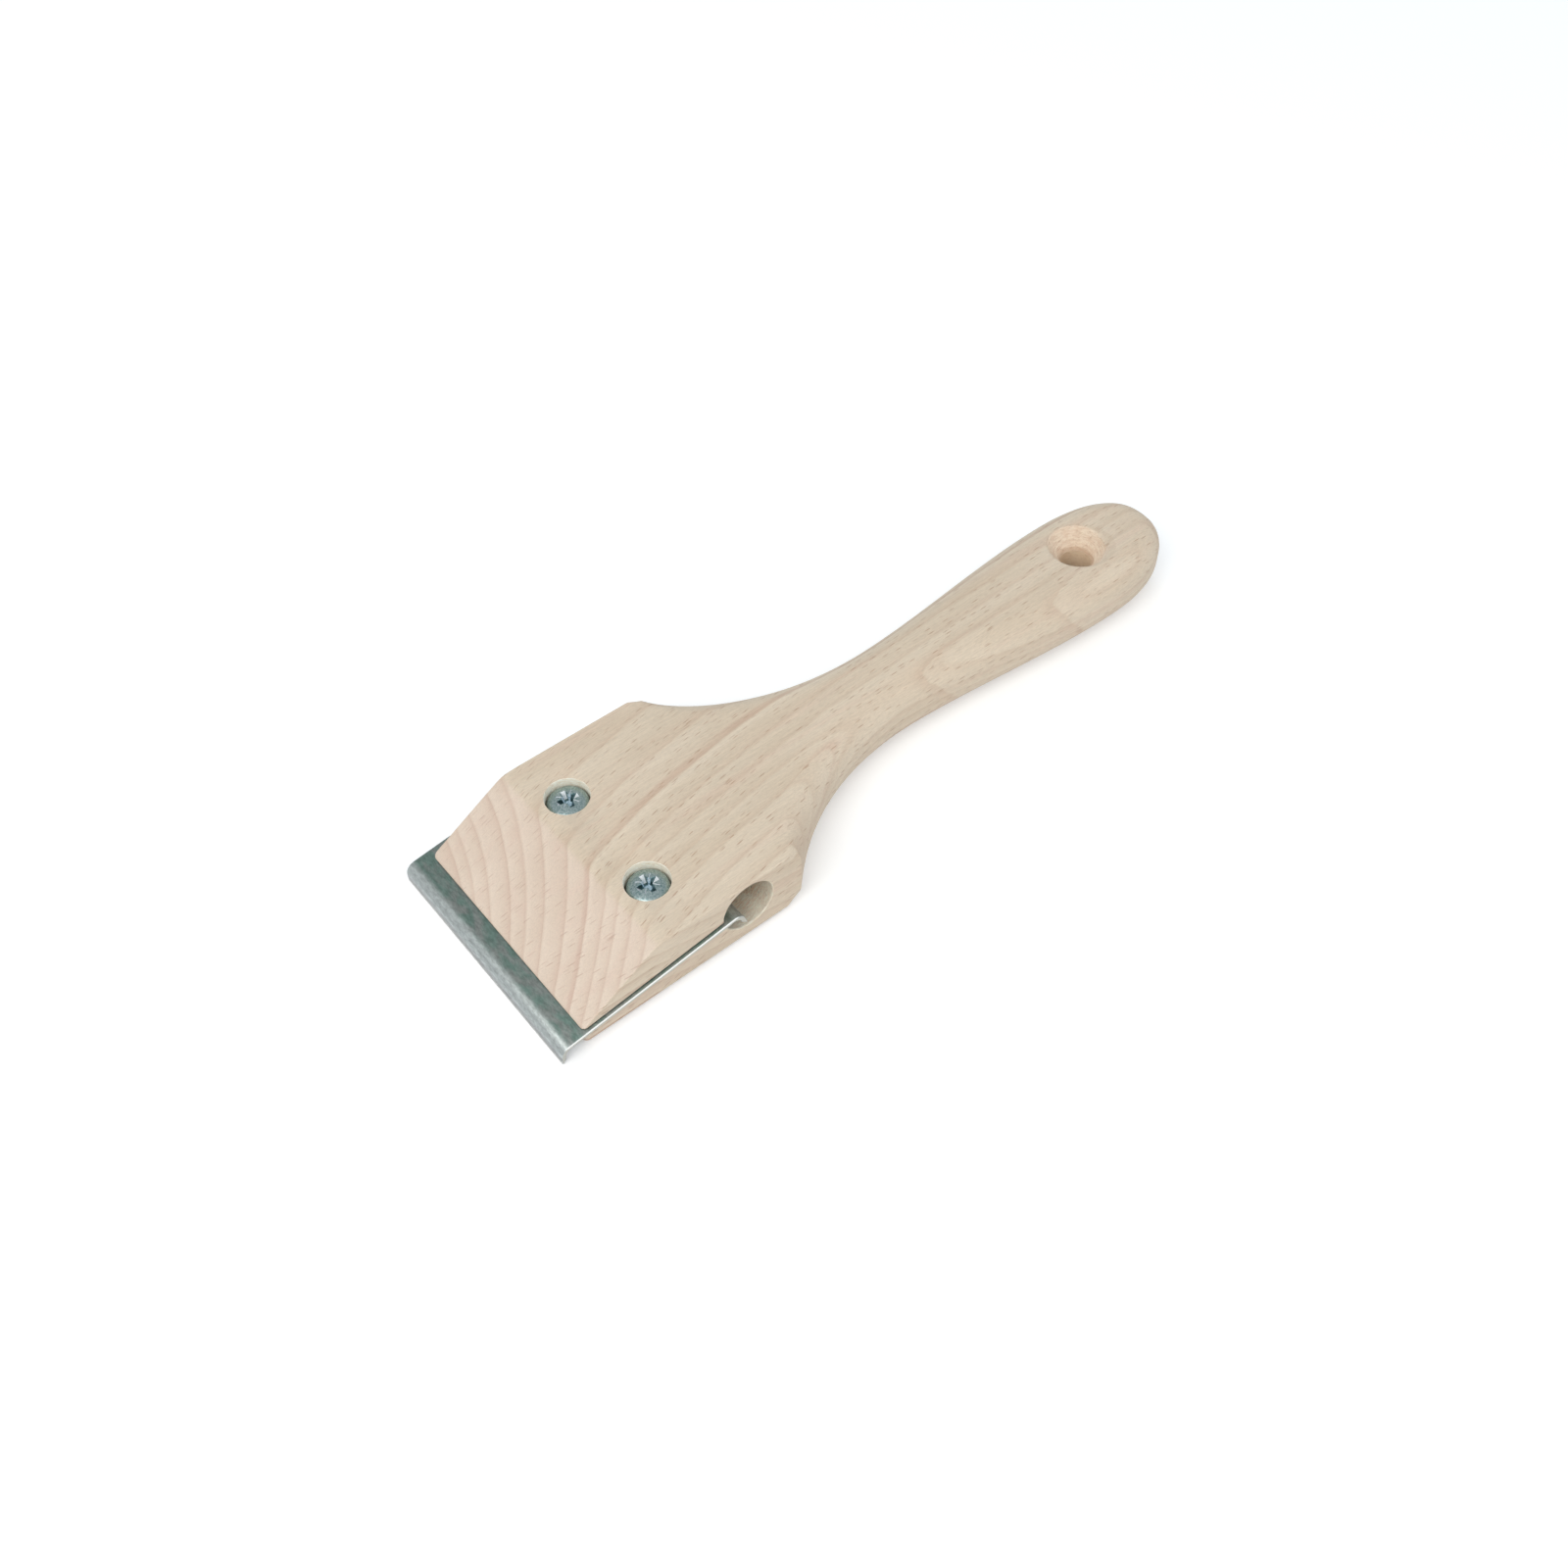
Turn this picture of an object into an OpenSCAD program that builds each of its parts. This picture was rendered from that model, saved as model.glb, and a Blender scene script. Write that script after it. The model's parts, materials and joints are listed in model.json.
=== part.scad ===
// Wood scraper: a flat beech handle whose head is sawn open in front, with a hooked
// steel blade pinched in the saw kerf by two machine screws and hidden nuts.
// Millimetres. +X runs to the handle's end, +Z is up, and the part stands on Z = 0.
// Inside the modules X = 0 is the head's front edge and Z = 0 the board's underside.

/* [Board] */
// Thickness of the board
board_t = 17; // [16:0.5:20]
// Width of the head
head_w = 57; // [50:1:60]
// Length of the wood, from the front edge to the handle's end
wood_len = 192; // [180:1:220]
// Distance from the front edge to the head's rear corners
corner_x = 56.5; // [54:0.5:60]
// Radius of the head's front corners, seen from above
nose_r = 1.1; // [0.6:0.1:2]
// Small round on the head's other edges
edge_break = 0.4; // [0.2:0.1:0.8]

/* [Handle] */
// Width of the waist behind the head
waist_w = 19.4; // [18:0.2:24]
// Distance from the front edge to the waist
waist_x = 104; // [98:1:110]
// Greatest width of the grip
grip_w = 28.6; // [26:0.2:32]
// Distance from the front edge to the widest place of the grip
grip_x = 167; // [160:1:172]
// Squareness of the grip's end, where 2 is an ellipse
end_power = 2.5; // [2:0.1:3]
// Radius of the round-over along the neck and the grip
round_r = 7; // [4:0.5:8]
// Where the round-over starts on the head's sides
round_start_x = 52.6; // [50:0.1:54]
// Where the round-over reaches its full radius
round_full_x = 75; // [70:1:85]

/* [Front bevel] */
// Distance from the front edge to the bevel's crease on the top face
bevel_len = 19.8; // [16:0.1:24]
// Height of the bevel's lower edge
bevel_low_z = 5; // [4.9:0.1:6]

/* [Kerf and cross bore] */
// Width of the saw kerf
kerf_w = 1.6; // [1.4:0.1:2]
// Height of the kerf's middle at the front edge
kerf_z = 3.9; // [3.6:0.1:4]
// Rise of the kerf towards the handle, in degrees
kerf_tilt = 7.7; // [7:0.1:8]
// Distance from the front edge to the cross bore that ends the kerf
bore_x = 42.4; // [42:0.1:44]
// Diameter of the cross bore
bore_d = 12.8; // [11:0.1:13]

/* [Blade] */
// Width of the blade
blade_w = 60; // [56:1:62]
// Length of the blade over its two hooks
blade_len = 48; // [46:0.1:49]
// Thickness of the blade
blade_t = 1.1; // [0.9:0.1:1.2]
// Inner radius of the hooks
bend_r = 1.6; // [1.4:0.1:1.8]
// Angle of the hooks
hook_angle = 80; // [75:1:85]
// Straight length of each hook below its bend
hook_len = 2.1; // [1.9:0.1:2.3]
// Height of the ground face on the inside of each hook
ground_h = 1.7; // [1.2:0.1:1.8]
// Distance along the kerf from the front edge to the blade's middle
blade_mid_u = 17.3; // [17:0.1:17.6]
// Sideways place of the blade under its screws
blade_shift = 0.8; // [-0.8:0.1:0.8]
// Diameter of the blade's holes
blade_hole_d = 7; // [7:0.1:8]

/* [Screws and nuts] */
// Distance from the front edge to the screws
screw_x = 27.2; // [26:0.1:28]
// Distance between the two screws
screw_gap = 29; // [26:0.5:32]
// Diameter of the screw's thread
thread_d = 5; // [5:5]
// Length of the screw under its head
screw_len = 12; // [11:0.5:12.5]
// Diameter of the screw's head
head_d = 9.2; // [9:0.1:9.6]
// Height of the screw's head
head_h = 3.7; // [3.4:0.1:3.8]
// Diameter of the hole for the head
counterbore_d = 10; // [10:0.1:11]
// Depth of the hole for the head
counterbore_h = 4.3; // [4:0.1:4.4]
// Diameter of the holes that the screws pass through
clearance_d = 5.5; // [5.4:0.1:6]
// Width of the nut across its flats
nut_af = 8; // [8:8]
// Thickness of the nut
nut_h = 4; // [3:0.1:4]

/* [Hanging hole] */
// Distance from the front edge to the hanging hole
hang_x = 167.5; // [160:0.5:172]
// Diameter of the hanging hole
hang_d = 7.6; // [6:0.1:9]
// Diameter of the countersinks at both faces
hang_rim_d = 15; // [12:0.5:17]
// Depth of each countersink
hang_sink_h = 5; // [3:0.5:6]

/* [Hidden] */

beech = "#dbc7ae";
blade_steel = "#7f8f8c";
zinc = "#a9b7c2";

over = 1;
round_sides = 96;
half_t = board_t / 2;
half_w = head_w / 2;

// The neck leaves the head's corner steeply, runs into the waist and swells to the grip.
// Each pull is how far a curve holds to its end's own direction.
corner_pull = [10, -9.5];
waist_pull_front = 23;
waist_pull_rear = 18;
grip_pull = 21;
neck_steps = 22;
neck_curve = [
    [corner_x, half_w],
    [corner_x, half_w] + corner_pull,
    [waist_x - waist_pull_front, waist_w / 2],
    [waist_x, waist_w / 2]
];
grip_steps = 14;
grip_curve = [
    [waist_x, waist_w / 2],
    [waist_x + waist_pull_rear, waist_w / 2],
    [grip_x - grip_pull, grip_w / 2],
    [grip_x, grip_w / 2]
];
function bezier(c, t) =
    c[0] * pow(1 - t, 3)
    + 3 * c[1] * t * pow(1 - t, 2)
    + 3 * c[2] * t * t * (1 - t)
    + c[3] * pow(t, 3);

// Half of the outline, from the front corner round to the tip of the handle
nose_steps = 4;
end_steps = 14;
ramp_step = 1.1;
function nose_point(a) = [nose_r * (1 - sin(a)), half_w - nose_r * (1 - cos(a))];
function end_point(a) = [
    grip_x + (wood_len - grip_x) * pow(sin(a), 2 / end_power),
    grip_w / 2 * pow(cos(a), 2 / end_power)
];
half_outline = concat(
    [for (i = [0:nose_steps]) nose_point(90 - 90 * i / nose_steps)],
    [for (i = [0:2]) [round_start_x + ramp_step * i, half_w]],
    [for (i = [0:neck_steps]) bezier(neck_curve, i / neck_steps)],
    [for (i = [1:grip_steps]) bezier(grip_curve, i / grip_steps)],
    [for (i = [1:end_steps - 1]) end_point(90 * i / end_steps)]
);
half_count = len(half_outline);
outline = concat(
    half_outline,
    [[wood_len, 0]],
    [for (i = [half_count - 1:-1:0]) [half_outline[i][0], -half_outline[i][1]]]
);
count = len(outline);

// Inward direction at an outline point, long enough to keep both offset sides parallel
function unit(v) = v / norm(v);
function side(i) = unit(outline[(i + 1) % count] - outline[i % count]);
function inward(i) =
    let (before = side(i + count - 1), after = side(i), middle = unit(before + after))
    [middle[1], -middle[0]] / (middle * after);

// Behind the head the round-over grows faster in height than in plan
plan_power = 2.7;
height_power = 5;
function growth(x) = min(max((x - round_start_x) / (round_full_x - round_start_x), 0), 1);
function swell(x, power) = max(edge_break, round_r * (1 - pow(1 - growth(x), power)));

// One level of the rounded board: a runs from 0 at the side to 90 at a face
function level(a, up) = [
    for (i = [0:count - 1])
        let (x = outline[i][0])
        let (p = outline[i] + inward(i) * swell(x, plan_power) * (1 - cos(a)))
        [p[0], p[1], half_t + up * (half_t - swell(x, height_power) * (1 - sin(a)))]
];
round_steps = 5;
level_angles = [for (i = [0:round_steps]) 90 * i / round_steps];
levels = concat(
    [for (i = [round_steps:-1:0]) level(level_angles[i], -1)],
    [for (a = level_angles) level(a, 1)]
);
level_count = len(levels);

// Faces go clockwise seen from outside. The two flat faces are strips across the board
module board() {
    last = (level_count - 1) * count;
    polyhedron(
        points = [for (ring = levels) each ring],
        faces = concat(
            [for (i = [0:half_count - 2]) [count - 1 - i, count - 2 - i, i + 1, i]],
            [[half_count + 1, half_count, half_count - 1]],
            [for (i = [0:half_count - 2])
                [last + i, last + i + 1, last + count - 2 - i, last + count - 1 - i]],
            [[last + half_count - 1, last + half_count, last + half_count + 1]],
            [for (k = [0:level_count - 2]) for (i = [0:count - 1])
                let (j = (i + 1) % count)
                [k * count + i, k * count + j, (k + 1) * count + j, (k + 1) * count + i]]
        )
    );
}

// Places the kerf's own frame: X along the kerf, Z across it, 0 at its middle
module in_kerf() {
    translate([0, 0, kerf_z]) rotate([0, -kerf_tilt, 0]) children();
}
kerf_reach = bore_x / cos(kerf_tilt);
bore_z = kerf_z + bore_x * tan(kerf_tilt);

module at_screws() {
    for (s = [-1, 1]) translate([screw_x, s * screw_gap / 2, 0]) children();
}

module bevel_cut() {
    slope = atan((board_t - bevel_low_z) / bevel_len);
    run = 2 * board_t;
    translate([0, -head_w, bevel_low_z])
        rotate([0, -slope, 0])
            translate([-run, 0, 0]) cube([3 * run, 2 * head_w, run]);
}

module kerf_cut() {
    in_kerf()
        translate([-nose_r - over, -head_w, -kerf_w / 2])
            cube([kerf_reach + nose_r + over, 2 * head_w, kerf_w]);
    translate([bore_x, head_w, bore_z])
        rotate([90, 0, 0]) cylinder(d = bore_d, h = 2 * head_w, $fn = round_sides);
}

module screw_cut() {
    translate([0, 0, -over]) cylinder(d = clearance_d, h = board_t + 2 * over, $fn = round_sides);
    translate([0, 0, seat_z]) cylinder(d = counterbore_d, h = counterbore_h + over, $fn = round_sides);
    translate([0, 0, -over]) cylinder(d = nut_pocket_d, h = nut_top_z + over, $fn = round_sides);
}

module hang_cut() {
    slope = (hang_rim_d - hang_d) / 2 / hang_sink_h;
    translate([0, 0, -over]) cylinder(d = hang_d, h = board_t + 2 * over, $fn = round_sides);
    for (face = [0, 1])
        translate([0, 0, face * board_t]) mirror([0, 0, face])
            translate([0, 0, -over])
                cylinder(
                    d1 = hang_rim_d + 2 * slope * over,
                    d2 = hang_d,
                    h = hang_sink_h + over,
                    $fn = round_sides
                );
}

// Heights of the screw's seat and of the nut, whose corners bite into its pocket
seat_z = board_t - counterbore_h;
nut_recess = 0.2;
nut_top_z = nut_recess + nut_h;
nut_across = nut_af / cos(30);
nut_bite = 0.12;
nut_pocket_d = nut_across - 2 * nut_bite;

module handle_shape() {
    difference() {
        board();
        bevel_cut();
        kerf_cut();
        at_screws() screw_cut();
        translate([hang_x, 0, 0]) hang_cut();
    }
}

// The blade lies on the kerf's lower face. Its profile is what lies under the outer skin
// of a folded strip, less what lies under its inner skin, in the kerf's own frame.
blade_low = -kerf_w / 2;
outer_r = bend_r + blade_t;
skin_depth = 2 * outer_r;
bend_centre = blade_len / 2 - outer_r * sin(hook_angle) - hook_len * cos(hook_angle);
screw_u = (screw_x + (blade_low + blade_t / 2) * sin(kerf_tilt)) / cos(kerf_tilt);
hole_offset = screw_u - blade_mid_u;

module at_bends() {
    for (end = [0, 1]) mirror([end, 0]) translate([bend_centre, -bend_r]) children();
}

module under_skin(r, leg) {
    translate([-bend_centre, r - bend_r - skin_depth]) square([2 * bend_centre, skin_depth]);
    at_bends() {
        circle(r = r, $fn = round_sides);
        rotate(-hook_angle) translate([0, r - skin_depth]) square([leg, skin_depth]);
    }
}

module blade_profile() {
    difference() {
        under_skin(outer_r, hook_len);
        under_skin(bend_r, skin_depth);
        at_bends() rotate(-hook_angle)
            polygon([
                [hook_len - ground_h, bend_r],
                [hook_len, outer_r],
                [skin_depth, outer_r],
                [skin_depth, bend_r]
            ]);
    }
}

module blade_shape() {
    in_kerf() translate([blade_mid_u, blade_shift, blade_low])
        difference() {
            rotate([90, 0, 0])
                linear_extrude(height = blade_w, center = true) blade_profile();
            for (s = [-1, 1]) for (end = [-1, 1])
                translate([end * hole_offset, s * screw_gap / 2, -over])
                    cylinder(d = blade_hole_d, h = blade_t + 2 * over, $fn = round_sides);
        }
}

// Pan head: a low crown whose rim is rounded, with a cross recess
crown_r = 8;
rim_r = 0.9;
crown_steps = 6;
crown_end = asin((head_d / 2 - rim_r) / (crown_r - rim_r));
crown_point = [for (i = [0:crown_steps])
    let (a = crown_end * i / crown_steps)
    [crown_r * sin(a), head_h - crown_r * (1 - cos(a))]];
rim_centre_z = head_h - crown_r + (crown_r - rim_r) * cos(crown_end);
rim_point = [for (i = [1:crown_steps])
    let (a = crown_end + (90 - crown_end) * i / crown_steps)
    [head_d / 2 - rim_r + rim_r * sin(a), rim_centre_z + rim_r * cos(a)]];
recess_d = 4.9;
recess_wing = 1.1;
recess_h = 2.4;
recess_core_d = 2.7;
tip_bevel = 0.6;
shank_len = screw_len - tip_bevel;

module screw_shape() {
    difference() {
        union() {
            rotate_extrude($fn = round_sides)
                polygon(concat([[0, 0]], crown_point, rim_point, [[head_d / 2, 0]]));
            translate([0, 0, -shank_len])
                cylinder(d = thread_d, h = shank_len, $fn = round_sides);
            translate([0, 0, -screw_len])
                cylinder(
                    d1 = thread_d - 2 * tip_bevel,
                    d2 = thread_d,
                    h = tip_bevel,
                    $fn = round_sides
                );
        }
        for (turn = [0, 90])
            rotate([0, 0, turn]) translate([-recess_d / 2, -recess_wing / 2, head_h - recess_h])
                cube([recess_d, recess_wing, recess_h + over]);
        translate([0, 0, head_h - recess_h])
            cylinder(d = recess_core_d, h = recess_h + over, $fn = round_sides);
    }
}

nut_play = 0.1;
module nut_shape() {
    difference() {
        cylinder(d = nut_across, h = nut_h, $fn = 6);
        translate([0, 0, -over])
            cylinder(d = thread_d + nut_play, h = nut_h + 2 * over, $fn = round_sides);
    }
}

// The tip of the blade's front hook, which is the lowest point of the part
tip_u = blade_mid_u - blade_len / 2;
tip_w = blade_low - bend_r + outer_r * cos(hook_angle) - hook_len * sin(hook_angle);
tip_x = tip_u * cos(kerf_tilt) - tip_w * sin(kerf_tilt);
tip_z = kerf_z + tip_u * sin(kerf_tilt) + tip_w * cos(kerf_tilt);

// The part's own frame: 0 at the middle of its length, and at the blade's edge in height
lift = max(0, -tip_z);
echo(blade_edge_below_the_wood = lift, overall_length = wood_len - tip_x);

module placed() {
    translate([-(tip_x + wood_len) / 2, 0, lift]) children();
}

module handle() {
    color(beech) placed() handle_shape();
}
module blade() {
    color(blade_steel) placed() blade_shape();
}
module clamp_screw(s) {
    color(zinc) placed() translate([screw_x, s * screw_gap / 2, seat_z]) screw_shape();
}
module clamp_screw_left() {
    clamp_screw(-1);
}
module clamp_screw_right() {
    clamp_screw(1);
}
module nuts() {
    color(zinc) placed() at_screws() translate([0, 0, nut_recess]) nut_shape();
}

handle();
blade();
clamp_screw_left();
clamp_screw_right();
nuts();
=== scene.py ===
import json
import math
import bmesh
import bpy
from mathutils import Matrix, Vector, noise


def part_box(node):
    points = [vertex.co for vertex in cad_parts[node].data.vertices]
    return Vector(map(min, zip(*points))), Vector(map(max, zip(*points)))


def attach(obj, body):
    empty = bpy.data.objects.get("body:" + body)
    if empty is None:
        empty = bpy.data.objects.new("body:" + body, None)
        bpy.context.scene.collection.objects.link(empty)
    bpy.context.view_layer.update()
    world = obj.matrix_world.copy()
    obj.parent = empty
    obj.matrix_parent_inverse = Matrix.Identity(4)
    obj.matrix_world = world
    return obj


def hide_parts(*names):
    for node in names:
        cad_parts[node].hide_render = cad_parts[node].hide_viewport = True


# The looks of a wood scraper: beech handle, hooked blade, two clamp screws and their nuts.
# Lengths are in metres. +X runs to the handle's end, +Y across the head, +Z up.
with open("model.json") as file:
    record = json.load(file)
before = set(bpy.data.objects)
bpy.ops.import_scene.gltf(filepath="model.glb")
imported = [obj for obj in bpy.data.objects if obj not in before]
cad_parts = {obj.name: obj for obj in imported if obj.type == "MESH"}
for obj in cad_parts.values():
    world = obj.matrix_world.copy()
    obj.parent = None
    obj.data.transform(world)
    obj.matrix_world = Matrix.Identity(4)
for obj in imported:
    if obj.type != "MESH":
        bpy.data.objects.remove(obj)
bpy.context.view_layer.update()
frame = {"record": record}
print("frame loaded")

woodLow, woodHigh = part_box("handle")
bladeLow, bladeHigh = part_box("blade")
mm = 0.001


def fromFront(x):
    # a distance from the wood's front edge, as a place in the frame
    return woodLow.x + x


def nodeCentre(node):
    low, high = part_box(node)
    return (low + high) / 2


# Camera, floor and light

cameraSpec = {
    "place": (-0.16641, -0.18693, 0.28676),
    "look": (0.39646, 0.49966, -0.77016),
    "right": (0.77452, -0.63244, -0.01161),
    "lens": 37.40,
    "sensor": 36.0,
    "clipStart": 0.01,
}
studioSpec = {
    "floorColour": (0.86, 0.86, 0.86),
    "floorLift": 0.26,
    "worldColour": (0.95, 0.98, 1.0),
    "worldStrength": 0.55,
    "floorReach": 6.0,
    "floorRoughness": 0.9,
    "floorShine": 0.1,
    # place, size, power, colour, and whether the steel mirrors it
    "lamps": {
        "keyLamp": ((-0.75, -0.30, 0.95), 0.9, 7.6, (1.0, 0.985, 0.955), True),
        "fillLamp": ((0.35, 1.1, 0.45), 0.8, 3.4, (0.56, 0.80, 1.0), False),
        "nearLamp": ((0.42, -0.80, 0.50), 0.9, 2.3, (0.86, 0.94, 1.0), True),
    },
}


def makeCamera(spec):
    data = bpy.data.cameras.new("photoCamera")
    data.sensor_fit = "HORIZONTAL"
    data.sensor_width = spec["sensor"]
    data.lens = spec["lens"]
    data.clip_start = spec["clipStart"]
    camera = bpy.data.objects.new("photoCamera", data)
    bpy.context.scene.collection.objects.link(camera)
    look = Vector(spec["look"]).normalized()
    right = Vector(spec["right"])
    right = (right - look * right.dot(look)).normalized()
    up = right.cross(look)
    turn = Matrix((right, up, -look)).transposed()
    camera.matrix_world = Matrix.Translation(spec["place"]) @ turn.to_4x4()
    bpy.context.scene.camera = camera


def makeLamp(name, place, size, power, colour, mirrored):
    data = bpy.data.lights.new(name, "AREA")
    data.color = colour
    data.shape = "DISK"
    data.size = size
    data.energy = power
    lamp = bpy.data.objects.new(name, data)
    bpy.context.scene.collection.objects.link(lamp)
    lamp.visible_glossy = mirrored
    lamp.location = place
    lamp.rotation_euler = (-Vector(place)).to_track_quat("-Z", "Y").to_euler()


def makeStudio(spec):
    # a pale world, which the camera sees as plain white
    scene = bpy.context.scene
    scene.view_settings.view_transform = "Standard"
    world = bpy.data.worlds.new("paleRoom")
    scene.world = world
    world.use_nodes = True
    background = world.node_tree.nodes["Background"]
    background.inputs["Color"].default_value = (*spec["worldColour"], 1)
    background.inputs["Strength"].default_value = spec["worldStrength"]
    room = world.node_tree
    seen = room.nodes.new("ShaderNodeLightPath").outputs["Is Camera Ray"]
    white = room.nodes.new("ShaderNodeBackground")
    pick = room.nodes.new("ShaderNodeMixShader")
    room.links.new(seen, pick.inputs["Fac"])
    room.links.new(background.outputs[0], pick.inputs[1])
    room.links.new(white.outputs[0], pick.inputs[2])
    room.links.new(pick.outputs[0], room.nodes["World Output"].inputs["Surface"])
    white.inputs["Color"].default_value = (1, 1, 1, 1)
    for name, values in spec["lamps"].items():
        makeLamp(name, *values)


def makeFloor(spec):
    # lifted to white for the camera alone, so that the object's shadow stays
    mesh = bpy.data.meshes.new("floor")
    reach = spec["floorReach"]
    corners = [(-reach, -reach, 0), (reach, -reach, 0), (reach, reach, 0), (-reach, reach, 0)]
    mesh.from_pydata(corners, [], [(0, 1, 2, 3)])
    floor = bpy.data.objects.new("floor", mesh)
    bpy.context.scene.collection.objects.link(floor)
    material = bpy.data.materials.new("paleFloor")
    material.use_nodes = True
    nodes, links = material.node_tree.nodes, material.node_tree.links
    shader = nodes["Principled BSDF"]
    shader.inputs["Base Color"].default_value = (*spec["floorColour"], 1)
    shader.inputs["Roughness"].default_value = spec["floorRoughness"]
    shader.inputs["Specular IOR Level"].default_value = spec["floorShine"]
    rays = nodes.new("ShaderNodeLightPath")
    lift = nodes.new("ShaderNodeMath")
    lift.operation = "MULTIPLY"
    lift.inputs[1].default_value = spec["floorLift"]
    glow = nodes.new("ShaderNodeEmission")
    both = nodes.new("ShaderNodeAddShader")
    links.new(rays.outputs["Is Camera Ray"], lift.inputs[0])
    links.new(lift.outputs[0], glow.inputs["Strength"])
    links.new(shader.outputs[0], both.inputs[0])
    links.new(glow.outputs[0], both.inputs[1])
    links.new(both.outputs[0], nodes["Material Output"].inputs["Surface"])
    mesh.materials.append(material)


makeCamera(cameraSpec)
makeStudio(studioSpec)
makeFloor(studioSpec)
print("camera and studio made")


# Short helpers for node trees

class Tree:
    # adds nodes and joins them, so that a material reads from top to bottom
    def __init__(self, nodeTree):
        self.nodes = nodeTree.nodes
        self.links = nodeTree.links

    def put(self, socket, value):
        if isinstance(value, bpy.types.NodeSocket):
            self.links.new(value, socket)
        elif value is not None:
            socket.default_value = value

    def math(self, operation, *values):
        node = self.nodes.new("ShaderNodeMath")
        node.operation = operation
        for socket, value in zip(node.inputs, values):
            self.put(socket, value)
        return node.outputs[0]

    def plus(self, first, second):
        return self.math("ADD", first, second)

    def minus(self, first, second):
        return self.math("SUBTRACT", first, second)

    def over(self, first, second):
        return self.math("DIVIDE", first, second)

    def times(self, first, *others):
        for other in others:
            first = self.math("MULTIPLY", first, other)
        return first

    def vector(self, operation, first, second=None):
        node = self.nodes.new("ShaderNodeVectorMath")
        node.operation = operation
        self.put(node.inputs[0], first)
        self.put(node.inputs[1], second)
        return node.outputs["Value" if operation == "LENGTH" else "Vector"]

    def seen(self, name):
        return self.nodes.new("ShaderNodeTexCoord").outputs[name]

    def split(self, vector):
        node = self.nodes.new("ShaderNodeSeparateXYZ")
        self.put(node.inputs[0], vector)
        return node.outputs

    def join(self, x, y, z):
        node = self.nodes.new("ShaderNodeCombineXYZ")
        for socket, value in zip(node.inputs, (x, y, z)):
            self.put(socket, value)
        return node.outputs[0]

    def mapped(self, vector, place=(0, 0, 0), turn=(0, 0, 0), scale=(1, 1, 1)):
        node = self.nodes.new("ShaderNodeMapping")
        self.put(node.inputs["Vector"], vector)
        node.inputs["Location"].default_value = place
        node.inputs["Rotation"].default_value = turn
        node.inputs["Scale"].default_value = scale
        return node.outputs[0]

    def noise(self, vector, grain, start=(0, 0, 0), scale=1.0, detail=2.0, roughness=0.5):
        # grain is how fine the pattern is along each axis
        place = self.mapped(vector, place=start, scale=grain)
        node = self.nodes.new("ShaderNodeTexNoise")
        self.put(node.inputs["Vector"], place)
        node.inputs["Scale"].default_value = scale
        node.inputs["Detail"].default_value = detail
        node.inputs["Roughness"].default_value = roughness
        return node.outputs["Fac"]

    def cells(self, vector):
        node = self.nodes.new("ShaderNodeTexVoronoi")
        self.put(node.inputs["Vector"], vector)
        node.inputs["Scale"].default_value = 1.0
        return node.outputs

    def step(self, value, low, high, outLow=0.0, outHigh=1.0):
        # a smooth step from outLow to outHigh
        node = self.nodes.new("ShaderNodeMapRange")
        node.interpolation_type = "SMOOTHSTEP"
        self.put(node.inputs["Value"], value)
        for name, number in zip(("From Min", "From Max", "To Min", "To Max"), (low, high, outLow, outHigh)):
            self.put(node.inputs[name], number)
        return node.outputs["Result"]

    def between(self, value, riseFrom, riseTo, fallFrom, fallTo):
        # 1 between riseTo and fallFrom, and 0 outside
        return self.times(self.step(value, riseFrom, riseTo), self.step(value, fallFrom, fallTo, 1.0, 0.0))

    def ramp(self, value, stops):
        node = self.nodes.new("ShaderNodeValToRGB")
        elements = node.color_ramp.elements
        while len(elements) < len(stops):
            elements.new(0.5)
        for element, (place, level) in zip(elements, stops):
            element.position = place
            element.color = (level, level, level, 1)
        self.put(node.inputs["Fac"], value)
        return node.outputs["Color"]

    def mix(self, share, first, second, mode="MIX"):
        node = self.nodes.new("ShaderNodeMix")
        node.data_type = "RGBA"
        node.blend_type = mode
        self.put(node.inputs["Factor"], share)
        for name, value in (("A", first), ("B", second)):
            socket = [s for s in node.inputs if s.name == name and s.type == "RGBA"][0]
            self.put(socket, value)
        return [s for s in node.outputs if s.type == "RGBA"][0]

    def shaded(self, colour, shade):
        return self.mix(1.0, colour, self.join(shade, shade, shade), "MULTIPLY")

    def bump(self, height, distance):
        node = self.nodes.new("ShaderNodeBump")
        self.put(node.inputs["Height"], height)
        node.inputs["Distance"].default_value = distance
        return node.outputs["Normal"]


def srgb(red, green, blue):
    # a colour as seen, 0 to 255, to the shader's linear values
    def linear(c):
        c = c / 255
        return c / 12.92 if c <= 0.04045 else ((c + 0.055) / 1.055) ** 2.4
    return (linear(red), linear(green), linear(blue), 1)


def newMaterial(name):
    material = bpy.data.materials.new(name)
    material.use_nodes = True
    tree = Tree(material.node_tree)
    return material, tree, material.node_tree.nodes["Principled BSDF"]


# Beech. The ring, ray and fibre figure is solid, so that it runs through every cut.
# Its lengths are in millimetres, from the wood's front edge, middle and underside.
# A step's numbers are where it starts and ends, and its values before and after.

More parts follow.
